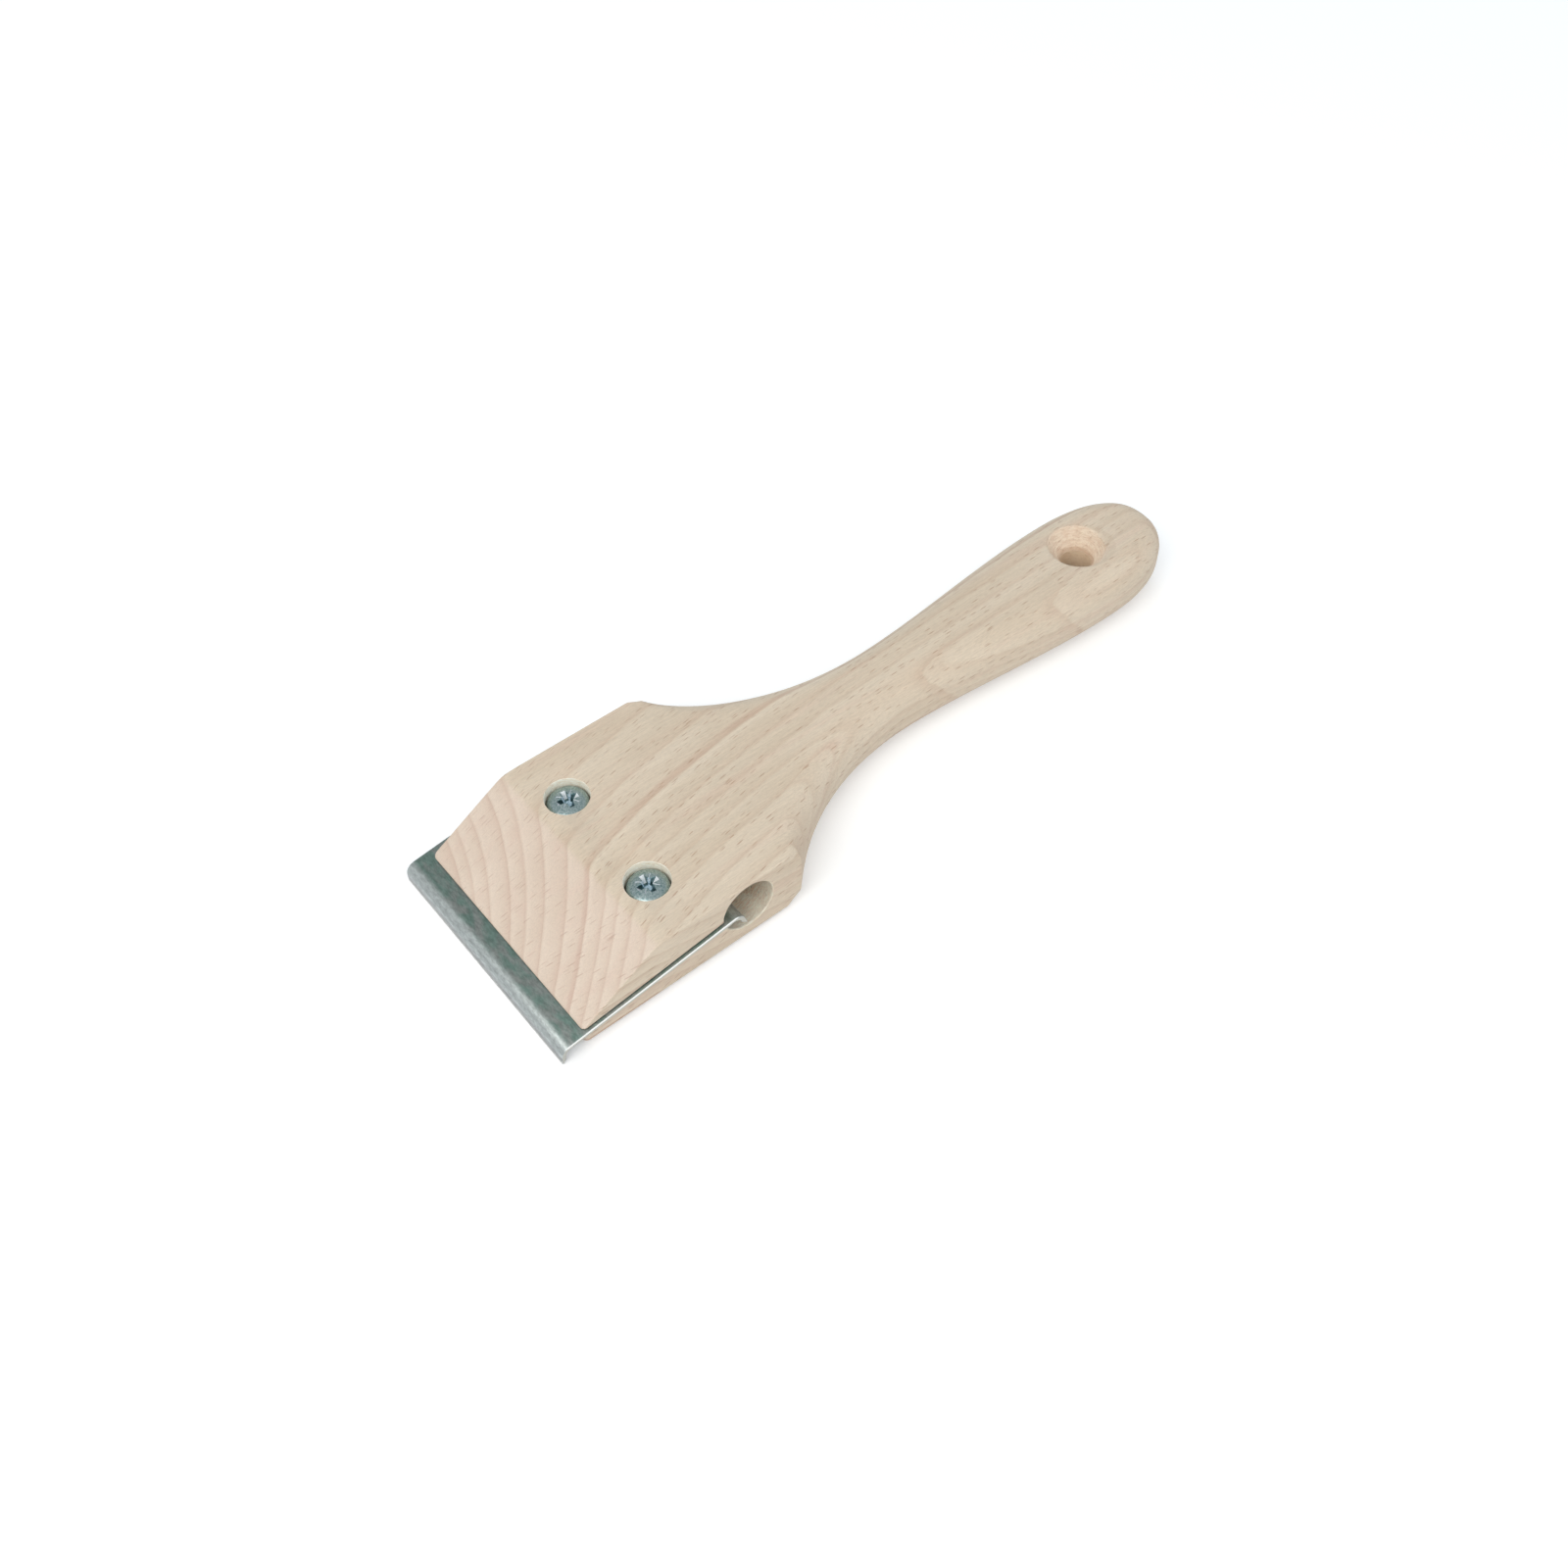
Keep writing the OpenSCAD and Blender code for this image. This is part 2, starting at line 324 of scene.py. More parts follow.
boardThickness = 17.0
beechSpec = {
    "pale": srgb(224, 208, 187),
    "body": srgb(211, 193, 170),
    "late": srgb(200, 173, 149),
    "ringLine": srgb(182, 148, 124),
    "streak": srgb(188, 148, 126),
    "pink": srgb(214, 186, 166),
    "ray": srgb(158, 112, 82),
    "endGrain": srgb(234, 211, 204),
    "pithY": 39.0,
    "pithZ": -74.0,
    "pithSwing": 16.0,
    "pithSwingStart": 18.0,
    "pithSwingLength": 44.0,
    "rings": (72.0, 75.5, 79.0, 82.0, 83.7, 85.9, 88.9, 91.3, 94.1, 97.5, 100.8, 103.5, 105.7, 108.2,
              111.0, 114.2, 117.5, 121.0),
    "lineBefore": 0.05,
    "lineAfter": 0.2,
    "linePower": 12.0,
    "palePower": 4.0,
    "latePower": 3.0,
    "lineStep": (0.3, 0.65, 0.45, 1.0),
    "frontStep": (16.0, 23.0, 1.0, 0.5),
    "wanderStep": (12.0, 30.0, 0.35, 0.8),
    "wideRing": 100.8,
    "wideBand": 0.9,
    "bandStep": (0.3, 0.65, 0.14, 0.30),
    "besideBand": (-0.8, -0.25, -0.2, -0.05),
    "rayArm": 95.0,
    "rayStep": (3.0, 5.0, 0.62),
    "rayHalf": (0.46, 0.42, 0.20),
    # pale tongues on the top face: tip x and y, direction in degrees, spread
    "tongues": ((108.4, -7.7, -8.5, 2.0), (146.9, -11.4, -5.7, 2.8), (81.0, -10.2, 205.0, 0.8)),
    "tongueDrift": 0.8,
    "tongueWander": 5.0,
    "tongueFade": (4.0, 34.0, 1.0, 0.0),
    "tongueRim": (-5.0, -0.4, -0.3, 0.3),
    "cloudStep": (0.3, 0.7, 0.0, 0.6),
    "pinkStep": (0.48, 0.75, 0.0, 0.40),
    "fibreStep": (0.3, 0.7, 0.93, 1.06),
    "poreStep": (0.3, 0.62, 0.93, 1.03),
    # how much of each colour goes over what lies below it
    "shares": {"ringPale": 0.7, "late": 0.62, "ringLine": 0.42, "beside": 0.45, "tongueEdge": 0.16,
               "tongue": 0.36, "ray": 0.54},
    # the bevel, where the fibres are cut across, and the handle's end
    "bevelStep": (-0.5, -0.2, 0.26, 0.0),
    "endStep": (0.3, 0.9, 0.0, 0.30),
    "roughness": (0.2, 0.8, 0.52, 0.68),
    "shine": 0.45,
    "relief": 0.06,
}
sawnSpec = {
    "colour": srgb(186, 158, 128),
    "share": 0.35,
    "markStep": 5.2,
    "markDepth": 0.4,
    "roughness": 0.8,
    "relief": 0.08,
}


def millimetres(tree):
    # object coordinates as millimetres from the wood's front edge and underside
    shift = (-woodLow.x / mm, 0, -woodLow.z / mm)
    return tree.mapped(tree.seen("Object"), place=shift, scale=(1 / mm, 1 / mm, 1 / mm))


def makeTongues(tree, spec, x, y, z, patchy):
    # where a ring runs out through the top face: how far a place is inside a tongue, and on its rim
    inside = None
    edge = None
    for tipX, tipY, direction, spread in spec["tongues"]:
        cosine = math.cos(math.radians(direction))
        sine = math.sin(math.radians(direction))
        awayX = tree.minus(x, tipX)
        awayY = tree.minus(y, tipY)
        along = tree.plus(tree.times(awayX, cosine), tree.times(awayY, sine))
        side = tree.minus(tree.times(awayY, cosine), tree.times(awayX, sine))
        side = tree.over(tree.times(side, side), spread)
        drift = tree.times(tree.minus(boardThickness, z), spec["tongueDrift"])
        depth = tree.minus(tree.minus(along, side), drift)
        depth = tree.math("MULTIPLY_ADD", tree.minus(patchy, 0.5), spec["tongueWander"], depth)
        near = tree.step(along, *spec["tongueFade"])
        patch = tree.times(tree.step(depth, -0.2, 0.9), near)
        rim = tree.times(tree.between(depth, *spec["tongueRim"]), near)
        inside = patch if inside is None else tree.math("MAXIMUM", inside, patch)
        edge = rim if edge is None else tree.math("MAXIMUM", edge, rim)
    return inside, edge


def makeRays(tree, spec, x, radius, angle):
    # thin spindles along the fibres, deep towards the pith
    turn = tree.times(angle, spec["rayArm"])
    place = tree.join(*(tree.over(value, step) for value, step in zip((x, radius, turn), spec["rayStep"])))
    cell = tree.cells(place)
    offset = tree.vector("SUBTRACT", place, cell["Position"])
    shape = tree.vector("LENGTH", tree.vector("DIVIDE", offset, spec["rayHalf"]))
    chance = tree.split(cell["Color"])[0]
    return tree.times(tree.step(shape, 0.45, 1.0, 1.0, 0.0), tree.step(chance, 0.2, 0.95))


def makeBeechFigure(spec):
    group = bpy.data.node_groups.new("beechFigure", "ShaderNodeTree")
    face = group.interface
    face.new_socket("Place", in_out="INPUT", socket_type="NodeSocketVector")
    face.new_socket("Colour", in_out="OUTPUT", socket_type="NodeSocketColor")
    face.new_socket("Height", in_out="OUTPUT", socket_type="NodeSocketFloat")
    tree = Tree(group)
    place = tree.nodes.new("NodeGroupInput").outputs["Place"]
    x, y, z = tree.split(place)
    shares = spec["shares"]

    # distance from the pith, whose line swings away behind the bevel
    past = tree.math("MAXIMUM", tree.minus(x, spec["pithSwingStart"]), 0.0)
    fade = tree.math("EXPONENT", tree.over(past, -spec["pithSwingLength"]))
    pithY = tree.math("MULTIPLY_ADD", fade, -spec["pithSwing"], spec["pithY"] + spec["pithSwing"])
    across = tree.minus(y, pithY)
    above = tree.minus(z, spec["pithZ"])
    radius = tree.math("SQRT", tree.plus(tree.times(across, across), tree.times(above, above)))
    wander = tree.noise(place, (0.05, 0.14, 0.14), detail=3.0)
    wander = tree.times(tree.minus(wander, 0.5), tree.step(x, *spec["wanderStep"]))
    radius = tree.plus(wander, radius)

    # each ring darkens slowly and ends in a thin line, then starts pale
    rings = spec["rings"]
    low, high = rings[0], rings[-1]
    stops = []
    for ring in rings[1:-1]:
        stops.append(((ring - spec["lineBefore"] - low) / (high - low), 1.0))
        stops.append(((ring + spec["lineAfter"] - low) / (high - low), 0.0))
    tone = tree.ramp(tree.over(tree.minus(radius, low), high - low), stops)
    ringLine = tree.math("POWER", tone, spec["linePower"])
    ringPale = tree.math("POWER", tree.minus(1.0, tone), spec["palePower"])
    late = tree.math("POWER", tone, spec["latePower"])
    patchy = tree.noise(place, (0.09, 0.3, 0.3), start=(3, 9, 1))
    front = tree.step(x, *spec["frontStep"])
    lineShare = tree.times(tree.step(patchy, *spec["lineStep"]), front)

    # one ring ends in a wide band with a pale line beside it
    inBand = tree.minus(spec["wideRing"], radius)
    band = tree.between(inBand, -0.1, 0.15, 0.6 * spec["wideBand"], 1.1 * spec["wideBand"])
    band = tree.times(band, tree.step(patchy, *spec["bandStep"]))
    beside = tree.between(inBand, *spec["besideBand"])
    inside, edge = makeTongues(tree, spec, x, y, z, patchy)
    ray = makeRays(tree, spec, x, radius, tree.math("ARCTAN2", across, above))

    fibre = tree.noise(place, (0.16, 3.8, 3.8), detail=5.0, roughness=0.68)
    pores = tree.noise(place, (1.0, 4.6, 4.6), start=(1, 2, 3), detail=3.0, roughness=0.7)
    cloud = tree.noise(place, (0.02, 0.11, 0.11))
    pink = tree.noise(place, (0.016, 0.30, 0.30), start=(7, 3, 11), detail=3.0)

    colour = tree.mix(tree.step(cloud, *spec["cloudStep"]), spec["body"], spec["pale"])
    colour = tree.mix(tree.times(ringPale, tree.times(front, shares["ringPale"])), colour, spec["pale"])
    colour = tree.mix(tree.step(pink, *spec["pinkStep"]), colour, spec["pink"])
    colour = tree.mix(tree.times(late, tree.times(front, shares["late"])), colour, spec["late"])
    colour = tree.mix(tree.times(ringLine, lineShare, shares["ringLine"]), colour, spec["ringLine"])
    colour = tree.mix(band, colour, spec["streak"])
    colour = tree.mix(tree.times(beside, shares["beside"]), colour, spec["pale"])
    colour = tree.mix(tree.times(edge, shares["tongueEdge"]), colour, spec["streak"])
    colour = tree.mix(tree.times(inside, shares["tongue"]), colour, spec["pale"])
    colour = tree.mix(tree.times(ray, shares["ray"]), colour, spec["ray"])
    shade = tree.times(tree.step(fibre, *spec["fibreStep"]), tree.step(pores, *spec["poreStep"]))
    colour = tree.shaded(colour, shade)

    # fibres and ring lines stand a little proud, and rays are dents
    height = tree.plus(tree.times(fibre, 0.5), tree.times(ringLine, 0.25))
    height = tree.minus(height, tree.times(ray, 0.35))
    out = tree.nodes.new("NodeGroupOutput")
    tree.put(out.inputs["Colour"], colour)
    tree.put(out.inputs["Height"], height)
    return group


beechFigure = makeBeechFigure(beechSpec)


def figureOf(tree):
    node = tree.nodes.new("ShaderNodeGroup")
    node.node_tree = beechFigure
    tree.put(node.inputs["Place"], millimetres(tree))
    return node.outputs["Colour"], node.outputs["Height"]


def makeSandedBeech(spec):
    # pinker on the bevel, and darker at the handle's end
    material, tree, shader = newMaterial("sandedBeech")
    colour, height = figureOf(tree)
    facing = tree.split(tree.seen("Normal"))[0]
    colour = tree.mix(tree.step(facing, *spec["bevelStep"]), colour, spec["endGrain"])
    colour = tree.mix(tree.step(facing, *spec["endStep"]), colour, spec["late"])
    tree.put(shader.inputs["Base Color"], colour)
    fine = tree.noise(millimetres(tree), (1.1, 6.0, 6.0))
    tree.put(shader.inputs["Roughness"], tree.step(fine, *spec["roughness"]))
    shader.inputs["Specular IOR Level"].default_value = spec["shine"]
    tree.put(shader.inputs["Normal"], tree.bump(height, spec["relief"] * mm))
    return material


def makeSawnBeech(spec):
    # kerf walls: saw marks across, a little browner
    material, tree, shader = newMaterial("sawnBeech")
    colour, height = figureOf(tree)
    marks = tree.math("SINE", tree.times(tree.split(millimetres(tree))[0], spec["markStep"]))
    tree.put(shader.inputs["Base Color"], tree.mix(spec["share"], colour, spec["colour"]))
    shader.inputs["Roughness"].default_value = spec["roughness"]
    height = tree.plus(height, tree.times(marks, spec["markDepth"]))
    tree.put(shader.inputs["Normal"], tree.bump(height, spec["relief"] * mm))
    return material


# what the bored walls share, with the values of a hole through the top face
boredSpec = {
    "face": "Z",
    "faceAt": boardThickness,
    # painted light near the face: how deep it reaches, how strong it is, and its colour
    "paleDepth": 1.5,
    "palest": 0.0,
    "rimLightColour": srgb(255, 252, 240),
    "midZ": boardThickness / 2,
    "endOnStep": (0.3, 0.9, 0.35, 1.0),
    "wallStep": (0.72, 0.97, 1.0, 0.0),
    "smearStep": (0.36, 0.66),
    "markStep": (0.55, 0.72, 0.0, 0.55),
    "tornStep": (0.53, 0.70, 0.0),
    "fuzzStep": (0.56, 0.76, 0.0, 0.6),
    "lineShare": 0.5,
    # how much painted light pales the straight middle of the hole
    "insideLightShare": 0.6,
    "roughness": 0.9,
    "shine": 0.15,
}
boredSpecs = {
    # the screws' clean counterbores: pale fresh-cut wood, and whiter still as painted light against their
    # shade
    "screwHole": {
        **boredSpec,
        "light": srgb(255, 252, 240),
        "dark": srgb(246, 232, 210),
        "ring": srgb(226, 204, 178),
        "torn": srgb(206, 176, 148),
        "inside": srgb(255, 252, 240),
        "deep": 0.0,
        "cover": 0.96,
        "around": (0.7, 0.7, 3.0),
        "tearing": 0.25,
        "relief": 0.1,
    },
    # the hanging hole, smeared by its countersink, with painted light in its straight middle
    "hangingHole": {
        **boredSpec,
        "light": srgb(250, 232, 210),
        "dark": srgb(234, 208, 184),
        "ring": srgb(188, 150, 118),
        "torn": srgb(176, 140, 110),
        "inside": srgb(236, 214, 184),
        "deep": 3.5,
        "cover": 0.80,
        "around": (0.45, 0.45, 2.6),
        "tearing": 0.45,
        "relief": 0.22,
    },
    # the cross bore, with torn fibres, and painted light that makes it palest towards its two ends
    "crossBore": {
        **boredSpec,
        "light": srgb(255, 248, 226),
        "dark": srgb(242, 208, 176),
        "ring": srgb(184, 142, 116),
        "torn": srgb(150, 104, 82),
        "inside": srgb(255, 248, 226),
        "face": "Y",
        "faceAt": 28.5,
        "paleDepth": 7.0,
        "palest": 0.50,
        "rimLightColour": srgb(255, 250, 232),
        "midZ": -60.0,
        "deep": 0.0,
        "cover": 0.92,
        "around": (0.6, 3.0, 0.6),
        "tearing": 1.0,
        "relief": 0.5,
    },
}


def makeBoredBeech(name, spec):
    # walls left by a drill: marks round the hole, and fibres torn where the wall crosses their ends
    material, tree, shader = newMaterial(name)
    colour = figureOf(tree)[0]
    place = millimetres(tree)
    facing = tree.split(tree.seen("Normal"))
    endOn = tree.step(tree.math("ABSOLUTE", facing["X"]), *spec["endOnStep"])
    wallShare = tree.step(tree.math("ABSOLUTE", facing[spec["face"]]), *spec["wallStep"])
    smear = tree.noise(place, spec["around"], detail=4.0, roughness=0.6)
    marks = tree.noise(place, spec["around"], start=(3, 5, 7), scale=1.9, detail=3.0)
    torn = tree.noise(place, (0.7, 2.2, 2.2), detail=5.0, roughness=0.7)
    fuzz = tree.noise(place, (2.0, 3.2, 3.2), detail=5.0, roughness=0.75)
    wall = tree.mix(tree.step(smear, *spec["smearStep"]), spec["light"], spec["dark"])
    wall = tree.mix(spec["cover"], colour, wall)
    wall = tree.mix(tree.step(marks, *spec["markStep"]), wall, spec["ring"])
    pits = tree.times(tree.step(torn, *spec["tornStep"], spec["tearing"]), endOn)
    wall = tree.mix(pits, wall, spec["torn"])
    wall = tree.mix(tree.step(fuzz, *spec["fuzzStep"]), wall, spec["light"])
    # a thin dark line where the straight middle of the hole begins
    deep = spec["deep"]
    depth = tree.math("ABSOLUTE", tree.minus(tree.split(place)[2], spec["midZ"]))
    line = tree.between(depth, deep - 0.1, deep + 0.1, deep + 0.3, deep + 1.1)
    wall = tree.mix(tree.times(line, spec["lineShare"]), wall, spec["ring"])
    # painted light against the hole's own shade: paler near the face, and in the middle of the hole
    inwards = tree.minus(spec["faceAt"], tree.math("ABSOLUTE", tree.split(place)[spec["face"]]))
    rimLightShare = tree.step(inwards, 0.5, spec["paleDepth"], spec["palest"], 0.0)
    wall = tree.mix(rimLightShare, wall, spec["rimLightColour"])
    wall = tree.mix(tree.step(depth, deep - 0.3, deep, spec["insideLightShare"], 0.0), wall, spec["inside"])
    tree.put(shader.inputs["Base Color"], tree.mix(wallShare, colour, wall))
    shader.inputs["Roughness"].default_value = spec["roughness"]
    shader.inputs["Specular IOR Level"].default_value = spec["shine"]
    rough = tree.math("MULTIPLY_ADD", fuzz, 0.5, tree.math("MULTIPLY_ADD", marks, 0.6, torn))
    tree.put(shader.inputs["Normal"], tree.bump(rough, spec["relief"] * mm))
    return material


# Steel of the blade. Its zones follow the kerf's own directions, u along and w across.

bladeSpec = {
    "length": 0.048,
    "thickness": 0.0011,
    "bendRadius": 0.0016,
    "hookAngle": math.radians(80),
    "hookLength": 0.0021,
    "groundHeight": 0.0017,
    "middleU": 0.0173,
    "holeDiameter": 0.007,
    "edgeRound": 0.00026,
    "foldSteps": 14,
    "flatColour": srgb(152, 158, 154),
    "tealColour": srgb(128, 152, 143),
    # the bend's paler tone is part burnished steel and part painted highlight
    "bendColour": srgb(204, 211, 209),
    "hookColour": srgb(189, 192, 193),
    "groundColour": srgb(206, 207, 206),
    # for the ground lines, and for the painted shade on the bend
    "grindLineAndShadeColour": srgb(120, 122, 124),
    "shearedColour": srgb(206, 206, 198),
    # the painted highlight along the sheared ends' upper edges
    "edgeHighlightColour": srgb(255, 255, 252),
    # zones in millimetres, inwards from the blade's end or along w
    "bendZone": (3.6, 1.9),
    "raggedness": 0.12,
    # painted shade: a darker band round the top of the bend
    "bendShade": (-1.4, -0.8, -0.5, 0.0),
    "bendShadeShare": 0.22,
    "hookStep": (-1.9, -0.9, 1.0, 0.0),
    "groundStep": (-3.05, -2.95, 1.0, 0.0),
    "highLine": (-2.4, -2.3, -2.3, -2.2),
    "highLineFade": (-6.0, 6.0, 0.6, 0.1),
    "lowLine": (-3.0, -2.9, -2.8, -2.65),
    "lineShare": 0.7,
    "shadeStep": (0.32, 0.68, 0.77, 1.20),
    "paleNearEnds": (0.9, 0.3),
    "shearedStep": (0.90, 0.97),
    "edgeStep": (0.2, 0.45),
    # where the painted highlight along the upper edges fades, and how much less metallic it is
    "upperZone": (2.6, 1.2),
    "highlightMatte": 0.8,
    "roughness": (0.2, 0.8, 0.36, 0.52),
    "smootherEdge": 0.10,
    "relief": 0.007,
}
kerfSpec = {
    "width": 0.0016,
    "height": 0.0039,
    "tilt": math.radians(7.7),
    "boreX": 0.0424,
    "boreDiameter": 0.0128,
}


def makeBladeSteel(spec, kerf):
    # mill-grey flats; paler bends, part burnished and part painted highlight; paler hooks; painted shade
    # round the top of the bend; bright ground faces and sheared ends, with a painted highlight along the
    # ends' upper edges
    material, tree, shader = newMaterial("bladeSteel")
    place = millimetres(tree)
    lifted = tree.mapped(place, place=(0, 0, -kerf["height"] / mm))
    turned = tree.mapped(lifted, turn=(0, kerf["tilt"], 0))
    u, v, w = tree.split(turned)
    away = tree.math("ABSOLUTE", tree.minus(u, spec["middleU"] / mm))
    half = spec["length"] / mm / 2
    mottle = tree.noise(place, (1.9, 0.6, 1.9), detail=5.0, roughness=0.75)
    rolled = tree.noise(place, (9.0, 0.3, 9.0), detail=3.0)
    blotch = tree.noise(place, (0.5, 0.22, 0.5), start=(5, 2, 8), detail=3.0)
    uneven = tree.minus(blotch, 0.5)
    ragged = tree.math("MULTIPLY_ADD", uneven, spec["raggedness"], away)
    bendFrom, bendTo = spec["bendZone"]
    # painted shade across the top of the bend
    bendShade = tree.times(tree.between(w, *spec["bendShade"]), spec["bendShadeShare"])
    middleV = (bladeLow.y + bladeHigh.y) / 2 / mm
    endV = (bladeHigh.y - bladeLow.y) / 2 / mm
    sideways = tree.math("ABSOLUTE", tree.minus(v, middleV))
    facing = tree.math("ABSOLUTE", tree.split(tree.seen("Normal"))[1])
    edge = tree.step(facing, *spec["edgeStep"])
    paleFrom, paleTo = spec["paleNearEnds"]
    # fine lines where the hook was ground
    scratch = tree.math("MULTIPLY_ADD", uneven, 0.3, w)
    highLine = tree.times(tree.between(scratch, *spec["highLine"]), tree.step(v, *spec["highLineFade"]))
    grindLine = tree.math("MAXIMUM", highLine, tree.between(w, *spec["lowLine"]))
    colour = tree.mix(tree.step(blotch, 0.35, 0.65), spec["flatColour"], spec["tealColour"])
    # the bend: part burnished, part painted highlight
    colour = tree.mix(tree.step(ragged, half - bendFrom, half - bendTo), colour, spec["bendColour"])
    colour = tree.mix(tree.step(w, *spec["hookStep"]), colour, spec["hookColour"])
    colour = tree.mix(bendShade, colour, spec["grindLineAndShadeColour"])
    colour = tree.mix(tree.step(w, *spec["groundStep"]), colour, spec["groundColour"])
    colour = tree.mix(tree.times(grindLine, spec["lineShare"]), colour, spec["grindLineAndShadeColour"])
    colour = tree.shaded(colour, tree.step(mottle, *spec["shadeStep"]))
    # a little paler near the sheared ends
    paleNearEnds = tree.step(sideways, endV - paleFrom, endV - paleTo, 0.0, 0.1)
    colour = tree.mix(paleNearEnds, colour, spec["bendColour"])
    # a painted highlight: a white line along the sheared ends' upper edge, made less metallic so that it
    # stays white
    upperFrom, upperTo = spec["upperZone"]
    edgeHighlight = tree.times(edge, tree.step(w, -0.2, 0.0),
                           tree.step(away, half - upperFrom, half - upperTo, 1.0, 0.3))
    colour = tree.mix(tree.step(facing, *spec["shearedStep"]), colour, spec["shearedColour"])
    colour = tree.mix(edgeHighlight, colour, spec["edgeHighlightColour"])
    tree.put(shader.inputs["Base Color"], colour)
    # the painted highlight is less metallic than the rest of the steel
    tree.put(shader.inputs["Metallic"], tree.math("MULTIPLY_ADD", edgeHighlight, -spec["highlightMatte"], 1.0))
    rough = tree.step(rolled, *spec["roughness"])
    tree.put(shader.inputs["Roughness"], tree.math("MULTIPLY_ADD", edge, -spec["smootherEdge"], rough))
    tree.put(shader.inputs["Normal"], tree.bump(tree.plus(rolled, mottle), spec["relief"] * mm))
    return material


# dark and light colour, how metallic, and roughness
zincSpecs = {
    "blueZinc": (srgb(132, 160, 160), srgb(192, 205, 205), 1.0, 0.26),
    # in the recess: painted shade on the walls and floors, painted glints on the ends and ticks, and a
    # painted highlight on the paler core
    "shadeZinc": (srgb(78, 104, 110), srgb(132, 160, 160), 1.0, 0.3),
    "gleamZinc": (srgb(238, 246, 252), (1, 1, 1, 1), 0.0, 0.3),
    "coreGleamZinc": (srgb(134, 168, 184), srgb(214, 232, 242), 0.35, 0.3),
}


def makeZinc(name):
    dark, light, metallic, roughness = zincSpecs[name]
    material, tree, shader = newMaterial(name)
    grains = tree.noise(millimetres(tree), (2.6, 2.6, 2.6), detail=4.0, roughness=0.6)
    tree.put(shader.inputs["Base Color"], tree.mix(tree.step(grains, 0.3, 0.7), dark, light))
    shader.inputs["Metallic"].default_value = metallic
    tree.put(shader.inputs["Roughness"], tree.step(grains, 0.2, 0.8, roughness, roughness + 0.14))
    tree.put(shader.inputs["Normal"], tree.bump(grains, 0.02 * mm))
    return material


sandedBeech = makeSandedBeech(beechSpec)
sawnBeech = makeSawnBeech(sawnSpec)
screwHoleBeech, hangingHoleBeech, crossBoreBeech = (makeBoredBeech(hole + "Beech", values)
                                                    for hole, values in boredSpecs.items())
bladeSteel = makeBladeSteel(bladeSpec, kerfSpec)
blueZinc, shadeZinc, gleamZinc, coreGleamZinc = (makeZinc(name) for name in zincSpecs)
print("materials made")


# Mesh helpers

def objectFrom(bm, name, materials):
    bmesh.ops.remove_doubles(bm, verts=bm.verts, dist=1e-7)
    bmesh.ops.recalc_face_normals(bm, faces=bm.faces)
    mesh = bpy.data.meshes.new(name)
    bm.to_mesh(mesh)
    bm.free()
    for material in materials:
        mesh.materials.append(material)
    piece = bpy.data.objects.new(name, mesh)
    bpy.context.scene.collection.objects.link(piece)
    return piece


def smoothed(piece, angle):
    piece.data.shade_smooth()
    piece.data.set_sharp_from_angle(angle=math.radians(angle))
    return piece


def box(name, size, middle, turn, material):
    bm = bmesh.new()
    bmesh.ops.create_cube(bm, size=1)
    bmesh.ops.scale(bm, vec=size, verts=bm.verts)
    bmesh.ops.translate(bm, vec=middle, verts=bm.verts)
    bm.transform(turn)
    return objectFrom(bm, name, [material])


tearSpec = {
    "least": 0.35,
    "atFibreEnds": 0.65,
    # how fine the tears are round the hole and along it, and how strong
    "coarse": (3.0, 2000, 0.6),
    "fine": (11.0, 900, 0.8),
}


def tornBy(depth, direction, height, spec):
    # the fibres tear where the wall crosses their ends, at +X and -X
    waves = 0
    for around, along, strength in (spec["coarse"], spec["fine"]):
        waves += strength * noise.noise(direction * around + Vector((0, 0, height * along)))
    return depth * (spec["least"] + spec["atFibreEnds"] * abs(direction.x)) * waves


def lathe(profile, sides, place, name, material, turn=Matrix.Identity(4), lean=0.0):
    # turns rows of (radius, height) about Z, from axis to axis, and puts the solid in place
    # a third number makes that row ragged by so much, as torn fibres are
    # a fourth makes it wider by so much in the direction of the angle lean
    bm = bmesh.new()
    rows = []
    angles = [2 * math.pi * i / sides for i in range(sides)]
    for radius, height, *extra in profile:
        if radius == 0:
            rows.append([bm.verts.new((0, 0, height))])
            continue
        row = []
        for a in angles:
            direction = Vector((math.cos(a), math.sin(a), 0))
            far = radius
            if len(extra) > 1:
                far += extra[1] * max(0, math.cos(a - lean)) ** 2
            if extra:
                far += tornBy(extra[0], direction, height, tearSpec)
            row.append(bm.verts.new((*(direction * far).xy, height)))
        rows.append(row)
    for lower, upper in zip(rows, rows[1:]):
        for i in range(sides):
            j = (i + 1) % sides
            if len(lower) == 1:
                bm.faces.new((lower[0], upper[i], upper[j]))
            elif len(upper) == 1:
                bm.faces.new((lower[i], lower[j], upper[0]))
            else:
                bm.faces.new((lower[i], lower[j], upper[j], upper[i]))
    bm.transform(Matrix.Translation(place) @ turn)
    return objectFrom(bm, name, [material])


def cut(piece, cutters, solver):
    for cutter in cutters:
        modifier = piece.modifiers.new("cut", "BOOLEAN")
        modifier.operation = "DIFFERENCE"
        modifier.solver = solver
        modifier.material_mode = "TRANSFER"
        modifier.object = cutter
    applied(piece)
    for cutter in cutters:
        bpy.data.objects.remove(cutter)
    return piece


def applied(piece):
    # the evaluated mesh takes the place of the piece's own, and its modifiers go
    seen = piece.evaluated_get(bpy.context.evaluated_depsgraph_get())
    mesh = bpy.data.meshes.new_from_object(seen)
    piece.modifiers.clear()
    piece.data = mesh
    return piece


# The handle

